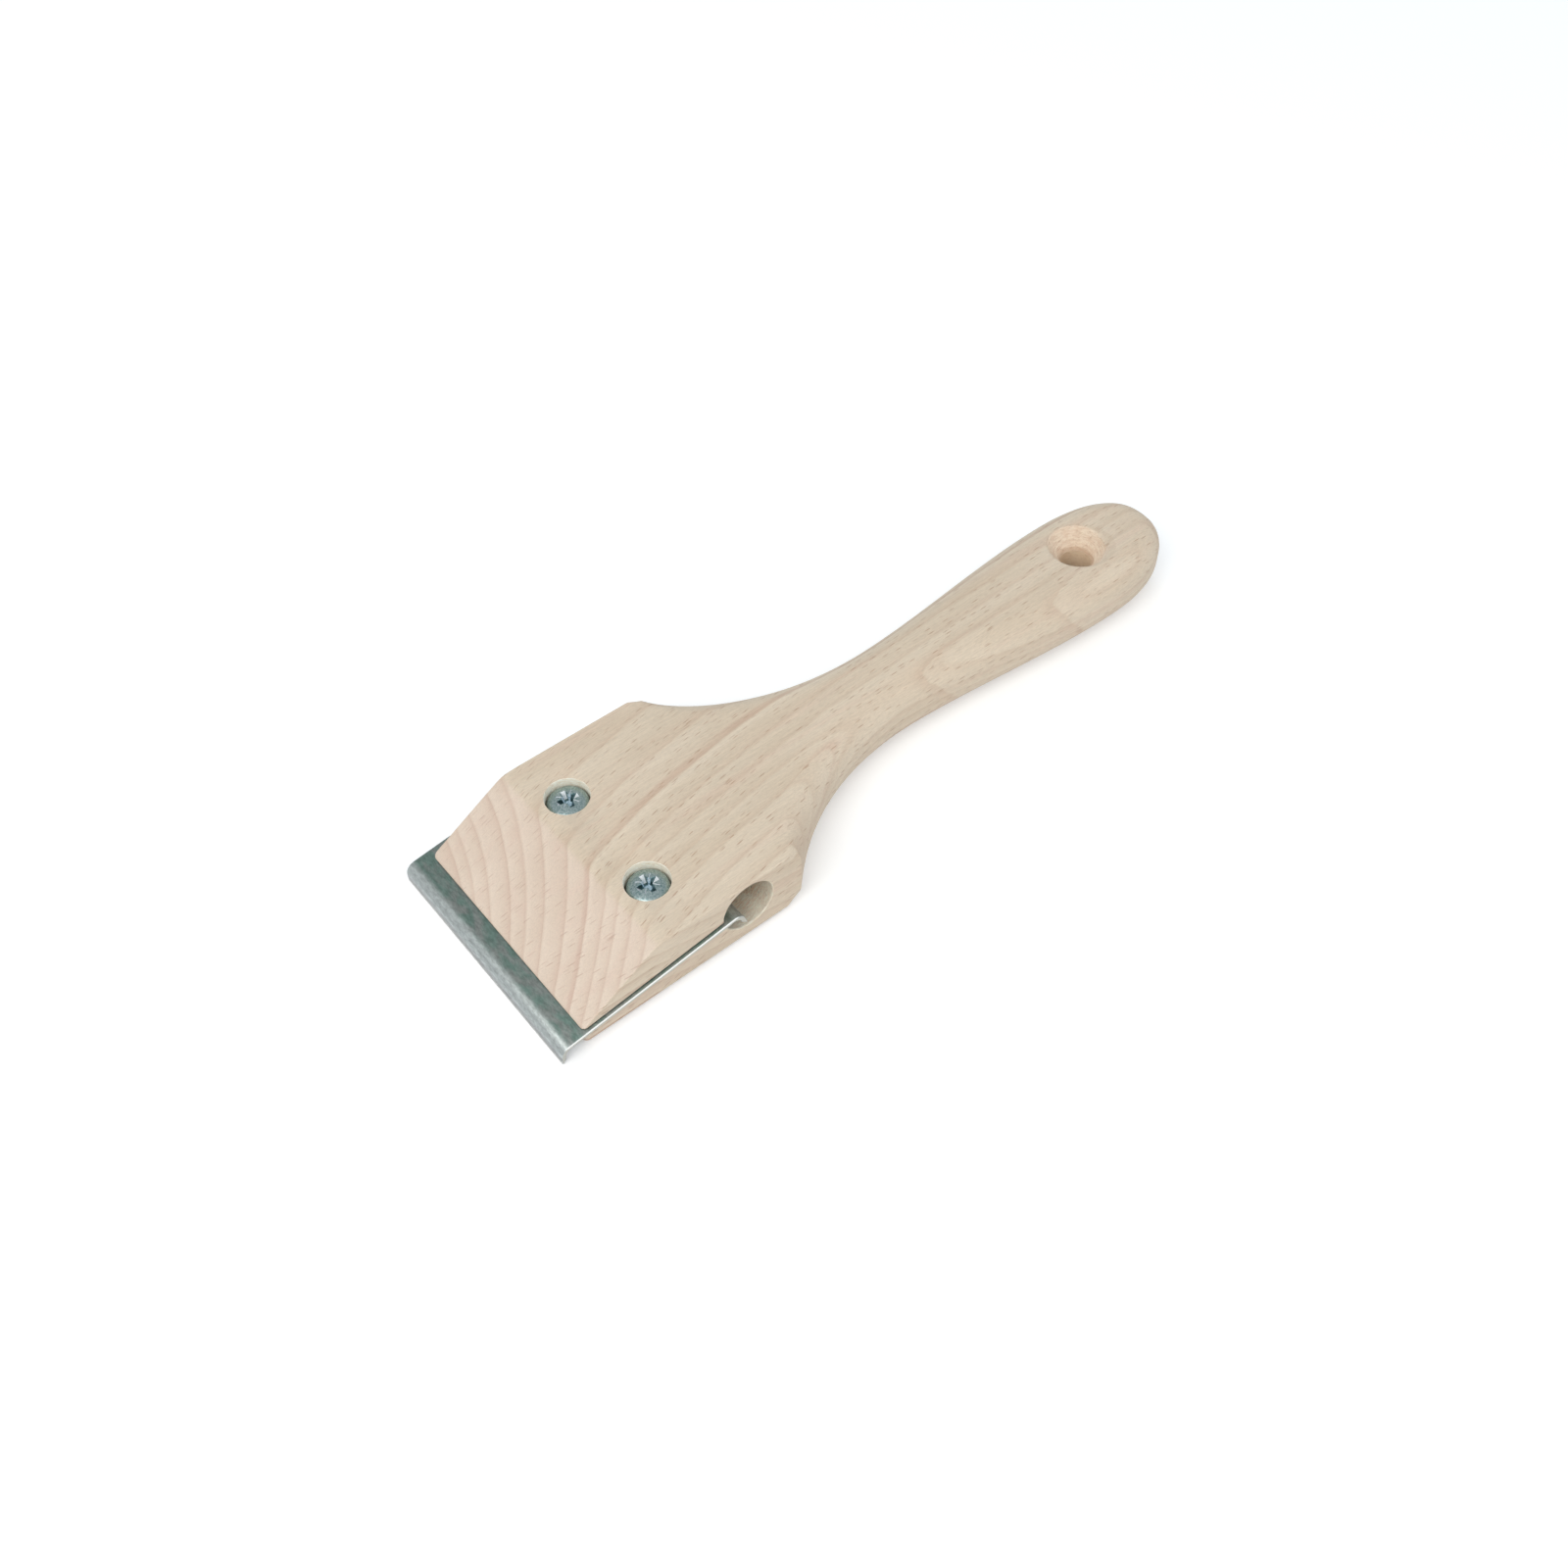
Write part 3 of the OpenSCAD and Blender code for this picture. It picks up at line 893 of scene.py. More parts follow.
handleSpec = {
    "cornerX": 0.0565,
    "cornerBlend": 0.004,
    "cornerLeaves": (0.010, 0.0095),
    "waistX": 0.104,
    "waistWidth": 0.0194,
    "waistFrom": 0.023,
    "waistTo": 0.018,
    "gripX": 0.167,
    "gripWidth": 0.0286,
    "gripFrom": 0.021,
    "endPower": 2.36,
    "noseRadius": 0.0011,
    "edgeBreak": 0.0004,
    "roundRadius": 0.007,
    "roundStartX": 0.0526,
    "roundFullX": 0.075,
    "roundInPower": 2.7,
    "roundDownPower": 5,
    "bevelLength": 0.0198,
    "bevelLowZ": 0.005,
    "creaseSoftness": 0.0004,
    "counterboreDiameter": 0.010,
    "counterboreDepth": 0.0043,
    "clearanceDiameter": 0.0055,
    "nutPocketDiameter": 0.009,
    "nutPocketDepth": 0.0042,
    "hangDiameter": 0.0076,
    "hangRimDiameter": 0.015,
    "hangSinkDepth": 0.005,
    "hangLip": 0.0007,
    "hangFade": 0.0014,
    "hangLean": -40,
    "tornDepth": 0.00022,
    "rimSoftness": 0.00025,
    "rimTear": 0.4,
    "cutterReach": 0.002,
    "sideStep": 0.0008,
    "sidePoints": 63,
    "creaseStep": 0.0001,
    "roundStep": 0.0005,
    "noseSteps": 6,
    "curveSteps": 90,
    "endSteps": 60,
    "roundSteps": 10,
}


def bezier(points, t):
    a, b, c, d = (Vector(p) for p in points)
    s = 1 - t
    return a * s ** 3 + b * 3 * t * s * s + c * 3 * t * t * s + d * t ** 3


def handleOutline(spec):
    # half of the outline, from the front corner round to the tip, then mirrored
    length = woodHigh.x - woodLow.x
    half = (woodHigh.y - woodLow.y) / 2
    nose = spec["noseRadius"]
    waist = spec["waistWidth"] / 2
    grip = spec["gripWidth"] / 2
    leaveX, leaveY = spec["cornerLeaves"]
    neck = [(spec["cornerX"], half), (spec["cornerX"] + leaveX, half - leaveY),
            (spec["waistX"] - spec["waistFrom"], waist), (spec["waistX"], waist)]
    belly = [(spec["waistX"], waist), (spec["waistX"] + spec["waistTo"], waist),
             (spec["gripX"] - spec["gripFrom"], grip), (spec["gripX"], grip)]
    points = []
    for i in range(spec["noseSteps"] + 1):
        a = math.pi / 2 * (1 - i / spec["noseSteps"])
        points.append(Vector((nose * (1 - math.sin(a)), half - nose * (1 - math.cos(a)))))
    # more points round the crease of the bevel, so that it can be soft
    bevel = spec["bevelLength"]
    sideX = [nose + spec["sideStep"] * i for i in range(1, spec["sidePoints"] + 1)]
    crease = [bevel + spec["creaseStep"] * i for i in range(-9, 10)]
    sideX = sorted([x for x in sideX if abs(x - bevel) > 10 * spec["creaseStep"]] + crease)
    points += [Vector((x, half)) for x in sideX if x < spec["roundStartX"]]
    points += [Vector((spec["roundStartX"] + i * spec["roundStep"], half)) for i in range(8)]
    steps = spec["curveSteps"]
    points += [bezier(neck, i / steps) for i in range(steps + 1)]
    points += [bezier(belly, i / steps) for i in range(1, steps + 1)]
    power = 2 / spec["endPower"]
    for i in range(1, spec["endSteps"]):
        a = math.pi / 2 * i / spec["endSteps"]
        points.append(Vector((spec["gripX"] + (length - spec["gripX"]) * math.sin(a) ** power,
                              grip * math.cos(a) ** power)))
    return points + [Vector((length, 0))] + [Vector((p.x, -p.y)) for p in reversed(points)]


def topHeight(x, spec):
    # height of the top face, with a soft crease where the bevel starts
    thick = woodHigh.z - woodLow.z
    slope = (thick - spec["bevelLowZ"]) / spec["bevelLength"]
    bevel = spec["bevelLowZ"] + slope * x
    soft = spec["creaseSoftness"]
    gap = bevel - thick
    return (bevel + thick - math.sqrt(gap * gap + 4 * soft * soft)) / 2


def swell(x, power, spec):
    # how far the round-over reaches at x, from the head's sharp edge to the neck's full radius
    share = (x - spec["roundStartX"]) / (spec["roundFullX"] - spec["roundStartX"])
    share = min(max(share, 0), 1)
    return max(spec["edgeBreak"], spec["roundRadius"] * (1 - (1 - share) ** power))


def inwardSides(outline, spec):
    # the direction inwards at each point of the outline
    count = len(outline)
    inward = []
    for i, point in enumerate(outline):
        before = (point - outline[i - 1]).normalized()
        after = (outline[(i + 1) % count] - point).normalized()
        middle = (before + after).normalized()
        inward.append(Vector((middle.y, -middle.x)) / middle.dot(after))
    # beside the head's rear corners the direction turns slowly, so that the rows never cross
    corners = [i for i, point in enumerate(outline) if abs(point.x - spec["cornerX"]) < 1e-6]
    for corner in corners:
        mitre = inward[corner].copy()
        for i, point in enumerate(outline):
            share = 1 - (point - outline[corner]).length / spec["cornerBlend"]
            if share > 0:
                inward[i] = inward[i].lerp(mitre, share)
    return inward


def makeBoard(spec):
    outline = handleOutline(spec)
    count = len(outline)
    inward = inwardSides(outline, spec)
    bm = bmesh.new()

    def level(angle, upper):
        row = []
        for point, side in zip(outline, inward):
            place = point + side * swell(point.x, spec["roundInPower"], spec) * (1 - math.cos(angle))
            depth = swell(point.x, spec["roundDownPower"], spec) * (1 - math.sin(angle))
            z = topHeight(place.x, spec) - depth if upper else depth
            row.append(bm.verts.new((fromFront(place.x), place.y, woodLow.z + z)))
        return row

    angles = [math.pi / 2 * i / spec["roundSteps"] for i in range(spec["roundSteps"] + 1)]
    rows = [level(a, False) for a in reversed(angles)] + [level(a, True) for a in angles]
    for lower, upper in zip(rows, rows[1:]):
        for i in range(count):
            j = (i + 1) % count
            bm.faces.new((lower[i], upper[i], upper[j], lower[j]))
    # the flat faces are strips across the board
    half = count // 2
    for row in (rows[0], rows[-1]):
        for i in range(half - 1):
            bm.faces.new((row[i], row[i + 1], row[count - 2 - i], row[count - 1 - i]))
        bm.faces.new((row[half - 1], row[half], row[half + 1]))
    return objectFrom(bm, "beechHandle", [sandedBeech])


def kerfCutter(spec, kerf):
    over = spec["cutterReach"]
    reach = kerf["boreX"] / math.cos(kerf["tilt"])
    tilt = Matrix.Rotation(-kerf["tilt"], 4, "Y")
    inPlace = Matrix.Translation((woodLow.x, 0, woodLow.z + kerf["height"])) @ tilt
    size = (reach + 2 * over, 0.08, kerf["width"])
    return box("kerfCutter", size, (reach / 2 - over, 0, 0), inPlace, sawnBeech)


def boreCutter(spec, kerf):
    over = spec["cutterReach"]
    soft = spec["rimSoftness"]
    torn = spec["tornDepth"] * spec["rimTear"]
    half = (woodHigh.y - woodLow.y) / 2
    radius = kerf["boreDiameter"] / 2
    boreZ = kerf["height"] + kerf["boreX"] * math.tan(kerf["tilt"])
    profile = [(0, -half - over), (radius + soft, -half - over), (radius + soft, -half, torn),
               (radius, -half + soft, torn), (radius, -half + 2 * soft), (radius, half - 2 * soft),
               (radius, half - soft, torn), (radius + soft, half, torn),
               (radius + soft, half + over), (0, half + over)]
    place = (fromFront(kerf["boreX"]), 0, woodLow.z + boreZ)
    return lathe(profile, 96, place, "boreCutter", crossBoreBeech, Matrix.Rotation(math.pi / 2, 4, "X"))


def screwCutter(spec, side, thick):
    # nut pocket, clearance hole and counterbore
    over = spec["cutterReach"]
    soft = spec["rimSoftness"]
    torn = spec["tornDepth"] * spec["rimTear"]
    shank = spec["clearanceDiameter"] / 2
    head = spec["counterboreDiameter"] / 2
    nut = spec["nutPocketDiameter"] / 2
    seat = thick - spec["counterboreDepth"]
    pocket = spec["nutPocketDepth"]
    profile = [(0, -over), (nut + soft, -over), (nut + soft, 0, torn), (nut, soft, torn), (nut, pocket),
               (shank, pocket), (shank, seat), (head, seat), (head, thick - 2 * soft),
               (head, thick - soft, torn), (head + 0.3 * soft, thick - 0.3 * soft, torn),
               (head + soft, thick, torn), (head + soft, thick + over), (0, thick + over)]
    centre = nodeCentre("clamp_screw_" + side)
    return lathe(profile, 72, (centre.x, centre.y, woodLow.z), side + "ScrewCutter", screwHoleBeech)


def hangCutter(spec, thick):
    # a hole with a countersink at each face, whose rims fade into the wood on one side
    over = spec["cutterReach"]
    inner = spec["hangDiameter"] / 2
    outer = spec["hangRimDiameter"] / 2
    sink = spec["hangSinkDepth"]
    slope = (outer - inner) / sink
    lip = spec["hangLip"]
    torn = spec["tornDepth"]
    fade = spec["hangFade"]
    rows = [(inner, sink * 1.25, torn * 0.6), (inner, sink, torn)]
    for i in range(1, 6):
        share = i / 6
        radius = inner + (outer - slope * lip - inner) * share
        rows.append((radius, sink + (lip - sink) * share, torn * spec["rimTear"]))
    rows += [(outer - slope * lip, lip, torn * 0.3, -0.25 * fade),
             (outer - 0.4 * lip, lip * 0.45, torn * 0.3, 0.1 * fade),
             (outer, lip * 0.15, 0, 0.5 * fade), (outer + lip * 0.5, 0, 0, fade),
             (outer + lip * 1.4, -over, 0, fade)]
    lower = [(0, -over)] + list(reversed(rows))
    upper = [(row[0], thick - row[1], *row[2:]) for row in rows] + [(0, thick + over)]
    mount = [m for m in frame["record"]["mounts"] if m["name"] == "hanging_hole"][0]
    place = (*mount["pos_m"][:2], woodLow.z)
    return lathe(lower + upper, 144, place, "hangCutter", hangingHoleBeech,
                 lean=math.radians(spec["hangLean"]))


def makeHandle(spec, kerf):
    board = makeBoard(spec)
    thick = woodHigh.z - woodLow.z
    cutters = [kerfCutter(spec, kerf), boreCutter(spec, kerf), screwCutter(spec, "left", thick),
               screwCutter(spec, "right", thick), hangCutter(spec, thick)]
    return smoothed(cut(board, cutters, "EXACT"), 28)


handle = makeHandle(handleSpec, kerfSpec)
print("handle made:", len(handle.data.polygons), "faces")


# Blade: a folded strip with two ground hooks, made by Geometry Nodes in the kerf's own directions

class Maker(Tree):
    # the same helper for geometry trees
    def __init__(self, name, inputs):
        self.group = bpy.data.node_groups.new(name, "GeometryNodeTree")
        face = self.group.interface
        face.new_socket("Geometry", in_out="INPUT", socket_type="NodeSocketGeometry")
        self.kinds = {}
        for label, value in inputs.items():
            kind = "NodeSocketInt" if isinstance(value, int) else "NodeSocketFloat"
            self.kinds[label] = face.new_socket(label, in_out="INPUT", socket_type=kind).identifier
        face.new_socket("Geometry", in_out="OUTPUT", socket_type="NodeSocketGeometry")
        super().__init__(self.group)
        self.entry = self.nodes.new("NodeGroupInput")
        self.values = inputs

    def given(self, label):
        return self.entry.outputs[label]

    def node(self, kind, settings=None, **sockets):
        node = self.nodes.new(kind)
        for name, value in (settings or {}).items():
            setattr(node, name, value)
        for name, value in sockets.items():
            self.put(node.inputs[name.replace("_", " ")], value)
        return node

    def placed(self, geometry, **sockets):
        return self.node("GeometryNodeTransform", Geometry=geometry, **sockets).outputs[0]

    def boolean(self, operation, meshes, first=None):
        node = self.node("GeometryNodeMeshBoolean", {"operation": operation, "solver": "EXACT"})
        if first is not None:
            self.links.new(first, node.inputs["Mesh 1"])
        for mesh in meshes:
            self.links.new(mesh, node.inputs["Mesh 2"])
        return node.outputs[0]

    def finish(self, geometry, material):
        real = self.node("GeometryNodeRealizeInstances", Geometry=geometry)
        painted = self.node("GeometryNodeSetMaterial", Geometry=real.outputs[0], Material=material)
        out = self.nodes.new("NodeGroupOutput")
        self.put(out.inputs[0], painted.outputs[0])

    def make(self, name):
        # runs the tree on an empty mesh and keeps the result as a plain mesh
        piece = bpy.data.objects.new(name, bpy.data.meshes.new(name))
        bpy.context.scene.collection.objects.link(piece)
        modifier = piece.modifiers.new(name, "NODES")
        modifier.node_group = self.group
        for label, value in self.values.items():
            modifier[self.kinds[label]] = value
        applied(piece)
        piece.data.name = name
        return piece


def makeBladeTree(spec, width, holeU, holeV):
    inputs = {
        "Width": width, "Length": spec["length"], "Thickness": spec["thickness"], "Bend": spec["bendRadius"],
        "Hook": spec["hookLength"], "Hook angle": spec["hookAngle"], "Edge round": spec["edgeRound"],
        "Fold steps": spec["foldSteps"], "Ground": spec["groundHeight"], "Hole": spec["holeDiameter"],
        "Hole along": holeU, "Hole across": holeV,
    }
    tree = Maker("foldedBlade", inputs)
    given = tree.given
    half = tree.over(given("Thickness"), 2.0)
    sine = tree.math("SINE", given("Hook angle"))
    cosine = tree.math("COSINE", given("Hook angle"))
    middleRadius = tree.plus(given("Bend"), half)
    outer = tree.plus(given("Bend"), given("Thickness"))
    bendCentre = tree.minus(tree.minus(tree.over(given("Length"), 2.0), tree.times(outer, sine)),
                            tree.times(given("Hook"), cosine))
    # the fold's corner on the middle line lies one tangent past the bend's centre
    halfAngle = tree.over(given("Hook angle"), 2.0)
    tangent = tree.times(middleRadius, tree.math("TANGENT", halfAngle))
    cornerU = tree.plus(bendCentre, tangent)
    leg = tree.plus(tangent, given("Hook"))
    tipU = tree.plus(cornerU, tree.times(leg, cosine))
    tipW = tree.minus(half, tree.times(leg, sine))

    line = tree.node("GeometryNodeMeshLine", {"mode": "OFFSET"}, Count=4)
    index = tree.nodes.new("GeometryNodeInputIndex").outputs[0]
    choose = tree.node("GeometryNodeIndexSwitch", {"data_type": "VECTOR"}, Index=index)
    choose.index_switch_items.new()
    choose.index_switch_items.new()
    minus = [tree.times(v, -1.0) for v in (tipU, cornerU)]
    stations = [tree.join(minus[0], 0.0, tipW), tree.join(minus[1], 0.0, half),
                tree.join(cornerU, 0.0, half), tree.join(tipU, 0.0, tipW)]
    for i, station in enumerate(stations):
        tree.put(choose.inputs[str(i)], station)
    moved = tree.node("GeometryNodeSetPosition", Geometry=line.outputs[0], Position=choose.outputs[0])
    curve = tree.node("GeometryNodeMeshToCurve", Mesh=moved.outputs[0])
    fold = tree.node("GeometryNodeFilletCurve", {"mode": "POLY"}, Curve=curve.outputs[0],
                     Count=given("Fold steps"), Radius=middleRadius)
    upright = tree.node("GeometryNodeSetCurveNormal", {"mode": "Z_UP"}, Curve=fold.outputs[0])
    section = tree.node("GeometryNodeCurvePrimitiveQuadrilateral", Width=given("Width"),
                        Height=given("Thickness"))
    softSection = tree.node("GeometryNodeFilletCurve", {"mode": "POLY"}, Curve=section.outputs[0], Count=3,
                            Radius=given("Edge round"))
    strip = tree.node("GeometryNodeCurveToMesh", Curve=upright.outputs[0],
                      Profile_Curve=softSection.outputs[0], Fill_Caps=True)

    # a block lies along each hook's slanted ground face, and takes the corner off inside
    # the face ends at the hook's outer tip, and leans by the slant from the hook's direction
    blockSize = 0.01
    slant = tree.math("ARCTAN2", given("Thickness"), given("Ground"))
    block = tree.node("GeometryNodeMeshCube")
    tree.put(block.inputs["Size"], tree.join(blockSize, tree.times(given("Width"), 1.2), blockSize))
    local = tree.placed(block.outputs[0], Translation=(0.0, 0.0, -blockSize / 2))
    tipAway = tree.plus(bendCentre, tree.plus(tree.times(outer, sine), tree.times(given("Hook"), cosine)))
    outerTipW = tree.minus(tree.minus(tree.times(outer, cosine), given("Bend")),
                           tree.times(given("Hook"), sine))
    cutters = []
    for side in (-1.0, 1.0):
        lean = tree.times(tree.minus(given("Hook angle"), slant), side)
        cutters.append(tree.placed(local, Rotation=tree.join(0.0, lean, 0.0),
                                   Translation=tree.join(tree.times(tipAway, side), 0.0, outerTipW)))
    drill = tree.node("GeometryNodeMeshCylinder", Vertices=64, Radius=tree.over(given("Hole"), 2.0),
                      Depth=0.006)
    for u in (-1.0, 1.0):
        for v in (-1.0, 1.0):
            spot = tree.join(tree.times(given("Hole along"), u), tree.times(given("Hole across"), v), 0.0)
            cutters.append(tree.placed(drill.outputs[0], Translation=spot))
    tree.finish(tree.boolean("DIFFERENCE", cutters, strip.outputs[0]), bladeSteel)
    return tree


def makeBlade(spec, kerf):
    screw = nodeCentre("clamp_screw_left")
    other = nodeCentre("clamp_screw_right")
    low = -kerf["width"] / 2
    middleW = low + spec["thickness"] / 2
    screwU = (screw.x - woodLow.x + middleW * math.sin(kerf["tilt"])) / math.cos(kerf["tilt"])
    tree = makeBladeTree(spec, bladeHigh.y - bladeLow.y, screwU - spec["middleU"], (other.y - screw.y) / 2)
    blade = tree.make("hookedBlade")
    # into the kerf: its lower face carries the blade
    inKerf = Matrix.Translation((spec["middleU"], (bladeLow.y + bladeHigh.y) / 2, low))
    tilt = Matrix.Rotation(-kerf["tilt"], 4, "Y")
    blade.data.transform(Matrix.Translation((woodLow.x, 0, woodLow.z + kerf["height"])) @ tilt @ inKerf)
    return smoothed(blade, 28)


blade = makeBlade(bladeSpec, kerfSpec)
print("blade made:", len(blade.data.polygons), "faces")


# Screws: a pan head with a cross recess, and a rolled thread

screwSpec = {
    "headDiameter": 0.0092,
    "headHeight": 0.0037,
    "crownRadius": 0.0105,
    "rimRadius": 0.0012,
    "underBreak": 0.0002,
    "threadDiameter": 0.005,
    "threadDepth": 0.00044,
    "threadFade": 0.0008,
    "pitch": 0.0008,
    "length": 0.012,
    "neck": 0.0006,
    "neckFlare": 0.0001,
    "tipBevel": 0.0007,
    "recessWidth": 0.0050,
    "armWidth": 0.00115,
    "armFloorWidth": 0.0009,
    "recessFloor": 0.0028,
    "recessDepth": 0.0019,
    "coreTip": 0.0003,
    "coreDepth": 0.00005,
    "coreAbove": 0.0004,
    "coreFloorRadius": 0.0008,
    "coreTopRadius": 0.0015,
    "edgeBreak": 0.00012,
    # these keep the cutters off each other's planes
    "armsApart": 0.00002,
    "ticksApart": 0.00001,
    "tickLength": 0.0052,
    "tickWidth": 0.00018,
    "tickDepth": 0.00075,
    "tickBlock": 0.002,
    "crownSteps": 12,
    "rimSteps": 10,
    "rowsPerPitch": 10,
    "sides": 96,
}


def threadRows(spec):
    # the rows of a screw thread that fades in and out
    start = -spec["length"] + spec["tipBevel"]
    end = -spec["neck"]
    fade = spec["threadFade"]
    sides = spec["sides"]
    rows = []
    steps = int((end - start) / spec["pitch"] * spec["rowsPerPitch"])
    for k in range(steps + 1):
        z = start + (end - start) * k / steps
        share = min(1, (z - start) / fade + 0.02, (end - z) / fade + 0.02)
        row = []
        for i in range(sides):
            phase = (z / spec["pitch"] - i / sides) % 1.0
            # 1 on the thread's crest, 0 in its root
            crest = min(max(abs(phase - 0.5) * 2.6 - 0.3, 0), 1)
            angle = 2 * math.pi * i / sides
            r = spec["threadDiameter"] / 2 - spec["threadDepth"] * (1 - crest) * share
            row.append((r * math.cos(angle), r * math.sin(angle), z))
        rows.append(row)
    return rows


def headProfile(spec):
    # from the head's underside round its rim, up to the crown
    radius = spec["headDiameter"] / 2
    crown = spec["crownRadius"]
    rim = spec["rimRadius"]
    height = spec["headHeight"]
    end = math.asin((radius - rim) / (crown - rim))
    profile = []
    for i in range(1, spec["crownSteps"] + 1):
        a = end * i / spec["crownSteps"]
        profile.append((crown * math.sin(a), height - crown * (1 - math.cos(a))))
    rimZ = height - crown + (crown - rim) * math.cos(end)
    for i in range(1, spec["rimSteps"] + 1):
        a = end + (math.pi / 2 - end) * i / spec["rimSteps"]
        profile.append((radius - rim + rim * math.sin(a), rimZ + rim * math.cos(a)))
    profile += [(radius, spec["underBreak"]), (radius - spec["underBreak"], 0)]
    return list(reversed(profile))


def makeScrewBody(spec, name, place):
    sides = spec["sides"]
    shank = spec["threadDiameter"] / 2
    flare = spec["neckFlare"]

    def ring(radius, z):
        return [(radius * math.cos(2 * math.pi * i / sides), radius * math.sin(2 * math.pi * i / sides), z)
                for i in range(sides)]

    rows = [ring(shank - spec["tipBevel"], -spec["length"])] + threadRows(spec)
    rows += [ring(shank, -flare), ring(shank + flare, 0)]
    rows += [ring(radius, z) for radius, z in headProfile(spec)]
    bm = bmesh.new()
    vertices = [[bm.verts.new(p) for p in row] for row in rows]
    for lower, upper in zip(vertices, vertices[1:]):
        for i in range(sides):
            j = (i + 1) % sides
            bm.faces.new((lower[i], lower[j], upper[j], upper[i]))
    bm.faces.new(list(reversed(vertices[0])))
    top = bm.verts.new((0, 0, spec["headHeight"]))
    for i in range(sides):
        bm.faces.new((vertices[-1][i], vertices[-1][(i + 1) % sides], top))
    bm.transform(Matrix.Translation(place))
    return objectFrom(bm, name, [blueZinc])


def armCutter(spec, inPlace, floor, face, apart):
    # a tapered block with painted shade on its long walls and floor and painted glints on its ends, which
    # flares to break the edges
    broken = spec["edgeBreak"]
    sections = [(spec["recessFloor"], spec["armFloorWidth"], floor),
                (spec["recessWidth"], spec["armWidth"], face - broken),
                (spec["recessWidth"] + 12 * broken, spec["armWidth"] + 12 * broken, face + 5 * broken)]
    bm = bmesh.new()
    loops = []
    for long, wide, z in sections:
        loops.append([bm.verts.new((sx * long / 2, sy * wide / 2, z + apart))
                      for sx, sy in ((1, 1), (-1, 1), (-1, -1), (1, -1))])
    for below, above in zip(loops, loops[1:]):
        for i in range(4):
            j = (i + 1) % 4
            bm.faces.new((below[i], below[j], above[j], above[i])).material_index = i % 2
    bm.faces.new(loops[0])
    bm.faces.new(loops[-1])
    bm.transform(inPlace)
    return objectFrom(bm, "armCutter", [shadeZinc, gleamZinc])


def makeScrew(spec, side, turn):
    # the recess: two tapered arms, a core, and four thin ticks between the arms
    centre = nodeCentre("clamp_screw_" + side)
    height = spec["headHeight"]
    place = Vector((centre.x, centre.y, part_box("clamp_screw_" + side)[1].z - height))
    crown = spec["crownRadius"]
    floor = height - spec["recessDepth"]
    face = height - crown * (1 - math.cos(math.asin(spec["recessWidth"] / 2 / crown))) / 2

    def turned(degrees):
        return Matrix.Translation(place) @ Matrix.Rotation(math.radians(degrees + turn), 4, "Z")

    body = makeScrewBody(spec, side + "ClampScrew", place)
    cutters = [armCutter(spec, turned(degrees), floor, face, apart)
               for degrees, apart in ((0, 0), (90, spec["armsApart"]))]
    # the core carries a painted highlight
    above = height + spec["coreAbove"]
    core = [(0, floor - spec["coreTip"]), (spec["coreFloorRadius"], floor - spec["coreDepth"]),
            (spec["coreTopRadius"], above), (0, above)]
    cutters.append(lathe(core, 32, place, "coreCutter", coreGleamZinc))
    # the ticks carry painted glints
    tickSize = (spec["tickLength"], spec["tickWidth"], spec["tickBlock"])
    tickZ = height - spec["tickDepth"] + spec["tickBlock"] / 2
    cutters += [box("tickCutter", tickSize, (0, 0, tickZ + apart), turned(degrees), gleamZinc)
                for degrees, apart in ((45, 0), (135, spec["ticksApart"]))]
    return smoothed(cut(body, cutters, "MANIFOLD"), 32)


leftScrew = makeScrew(screwSpec, "left", -3)
rightScrew = makeScrew(screwSpec, "right", -8)
print("screws made:", len(leftScrew.data.polygons), "faces each")


# Nuts: one tree puts the same nut on both screws

nutSpec = {
    "bore": 0.0051,
    "chamfer": 0.0004,
    # of the cones that turn off the corners: how far past an end, how much narrower there, how much wider
    "conePast": 0.1,
    "coneSlope": 1.73,
    "coneFoot": 1.9,
    "sides": 72,
}


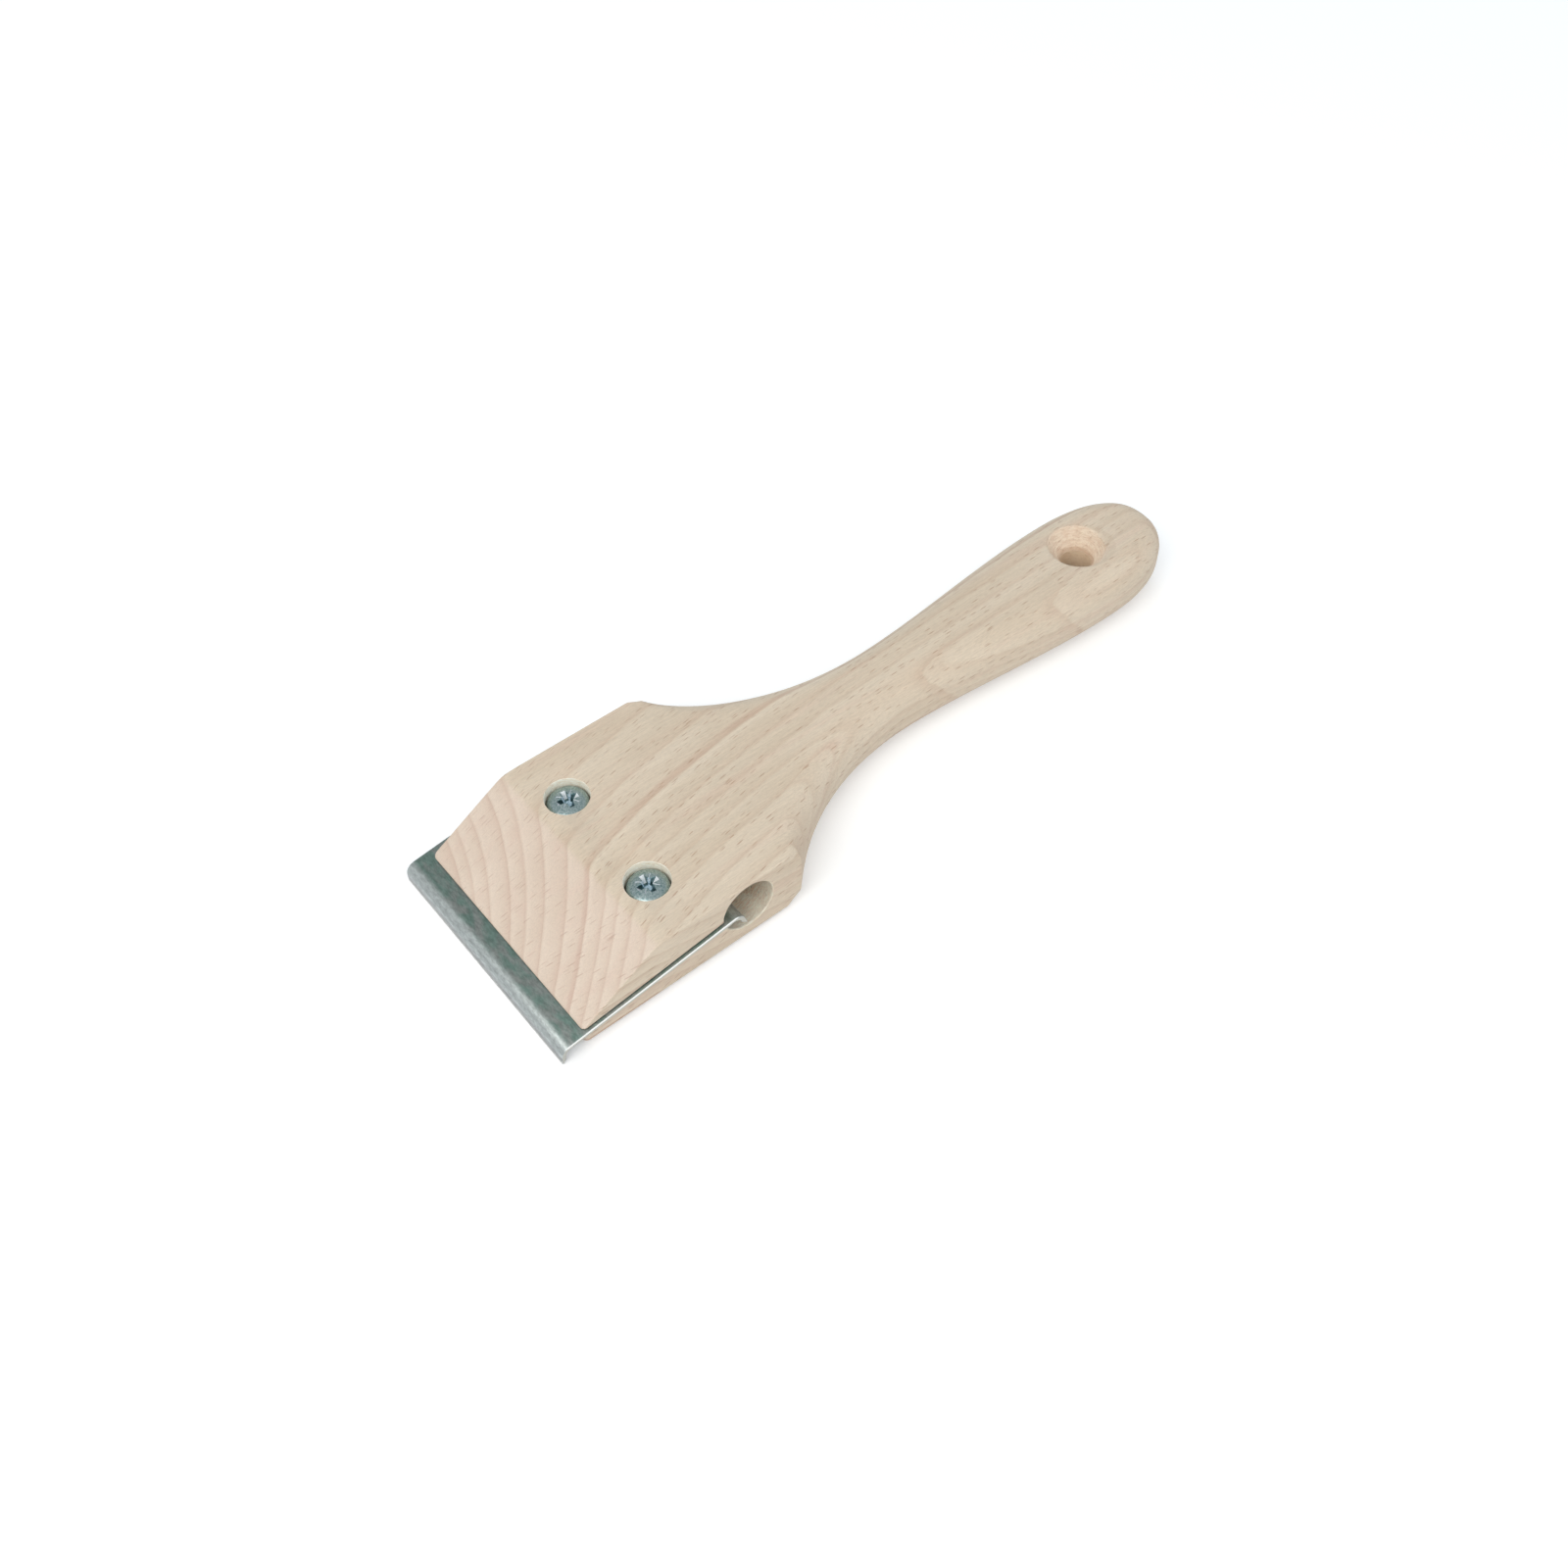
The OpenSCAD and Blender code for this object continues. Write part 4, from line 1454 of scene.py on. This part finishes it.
def makeNuts(spec):
    low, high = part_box("nuts")
    left = nodeCentre("clamp_screw_left")
    right = nodeCentre("clamp_screw_right")
    across = high.x - low.x
    tall = high.z - low.z
    inputs = {"Across corners": across, "Height": tall, "Bore": spec["bore"], "Chamfer": spec["chamfer"],
              "Gap": right.y - left.y}
    tree = Maker("nutPair", inputs)
    given = tree.given
    hexagon = tree.node("GeometryNodeMeshCylinder", Vertices=6, Depth=given("Height"),
                        Radius=tree.over(given("Across corners"), 2.0))
    # the corners are turned off by two wide cones that reach past both ends
    coneEnd = tree.minus(tree.over(given("Across corners"), 2.0), given("Chamfer"))
    past = tree.times(given("Height"), spec["conePast"])
    cone = tree.node("GeometryNodeMeshCone", Vertices=spec["sides"],
                     Radius_Top=tree.minus(coneEnd, tree.times(past, spec["coneSlope"])),
                     Radius_Bottom=tree.plus(coneEnd, tree.times(given("Height"), spec["coneFoot"])),
                     Depth=tree.times(given("Height"), 1.2))
    foot = tree.join(0.0, 0.0, tree.times(given("Height"), -0.6))
    upper = tree.placed(cone.outputs[0], Translation=foot)
    lower = tree.placed(upper, Rotation=(math.pi, 0.0, 0.0))
    cornered = tree.boolean("INTERSECT", (hexagon.outputs[0], upper, lower))
    drill = tree.node("GeometryNodeMeshCylinder", Vertices=spec["sides"],
                      Radius=tree.over(given("Bore"), 2.0), Depth=0.01)
    bored = tree.boolean("DIFFERENCE", (drill.outputs[0],), cornered)
    points = tree.node("GeometryNodeMeshLine", {"mode": "END_POINTS"}, Count=2)
    half = tree.over(given("Gap"), 2.0)
    tree.put(points.inputs["Start Location"], tree.join(0.0, tree.times(half, -1.0), 0.0))
    tree.put(points.inputs["Offset"], tree.join(0.0, half, 0.0))
    placed = tree.node("GeometryNodeInstanceOnPoints", Points=points.outputs[0], Instance=bored)
    tree.finish(placed.outputs[0], blueZinc)
    nuts = tree.make("sunkNuts")
    nuts.data.transform(Matrix.Translation(((low + high) / 2).to_tuple()))
    return smoothed(nuts, 30)


nuts = makeNuts(nutSpec)
print("nuts made:", len(nuts.data.polygons), "faces")


# Each piece rides on its body and stands for its node

for piece, body, node, slot in (
    (handle, "handle", "handle", "beech"),
    (blade, "handle", "blade", "blade_steel"),
    (nuts, "handle", "nuts", "zinc"),
    (leftScrew, "clamp_screw_left", "clamp_screw_left", "zinc"),
    (rightScrew, "clamp_screw_right", "clamp_screw_right", "zinc"),
):
    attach(piece, body)
    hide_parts(node)
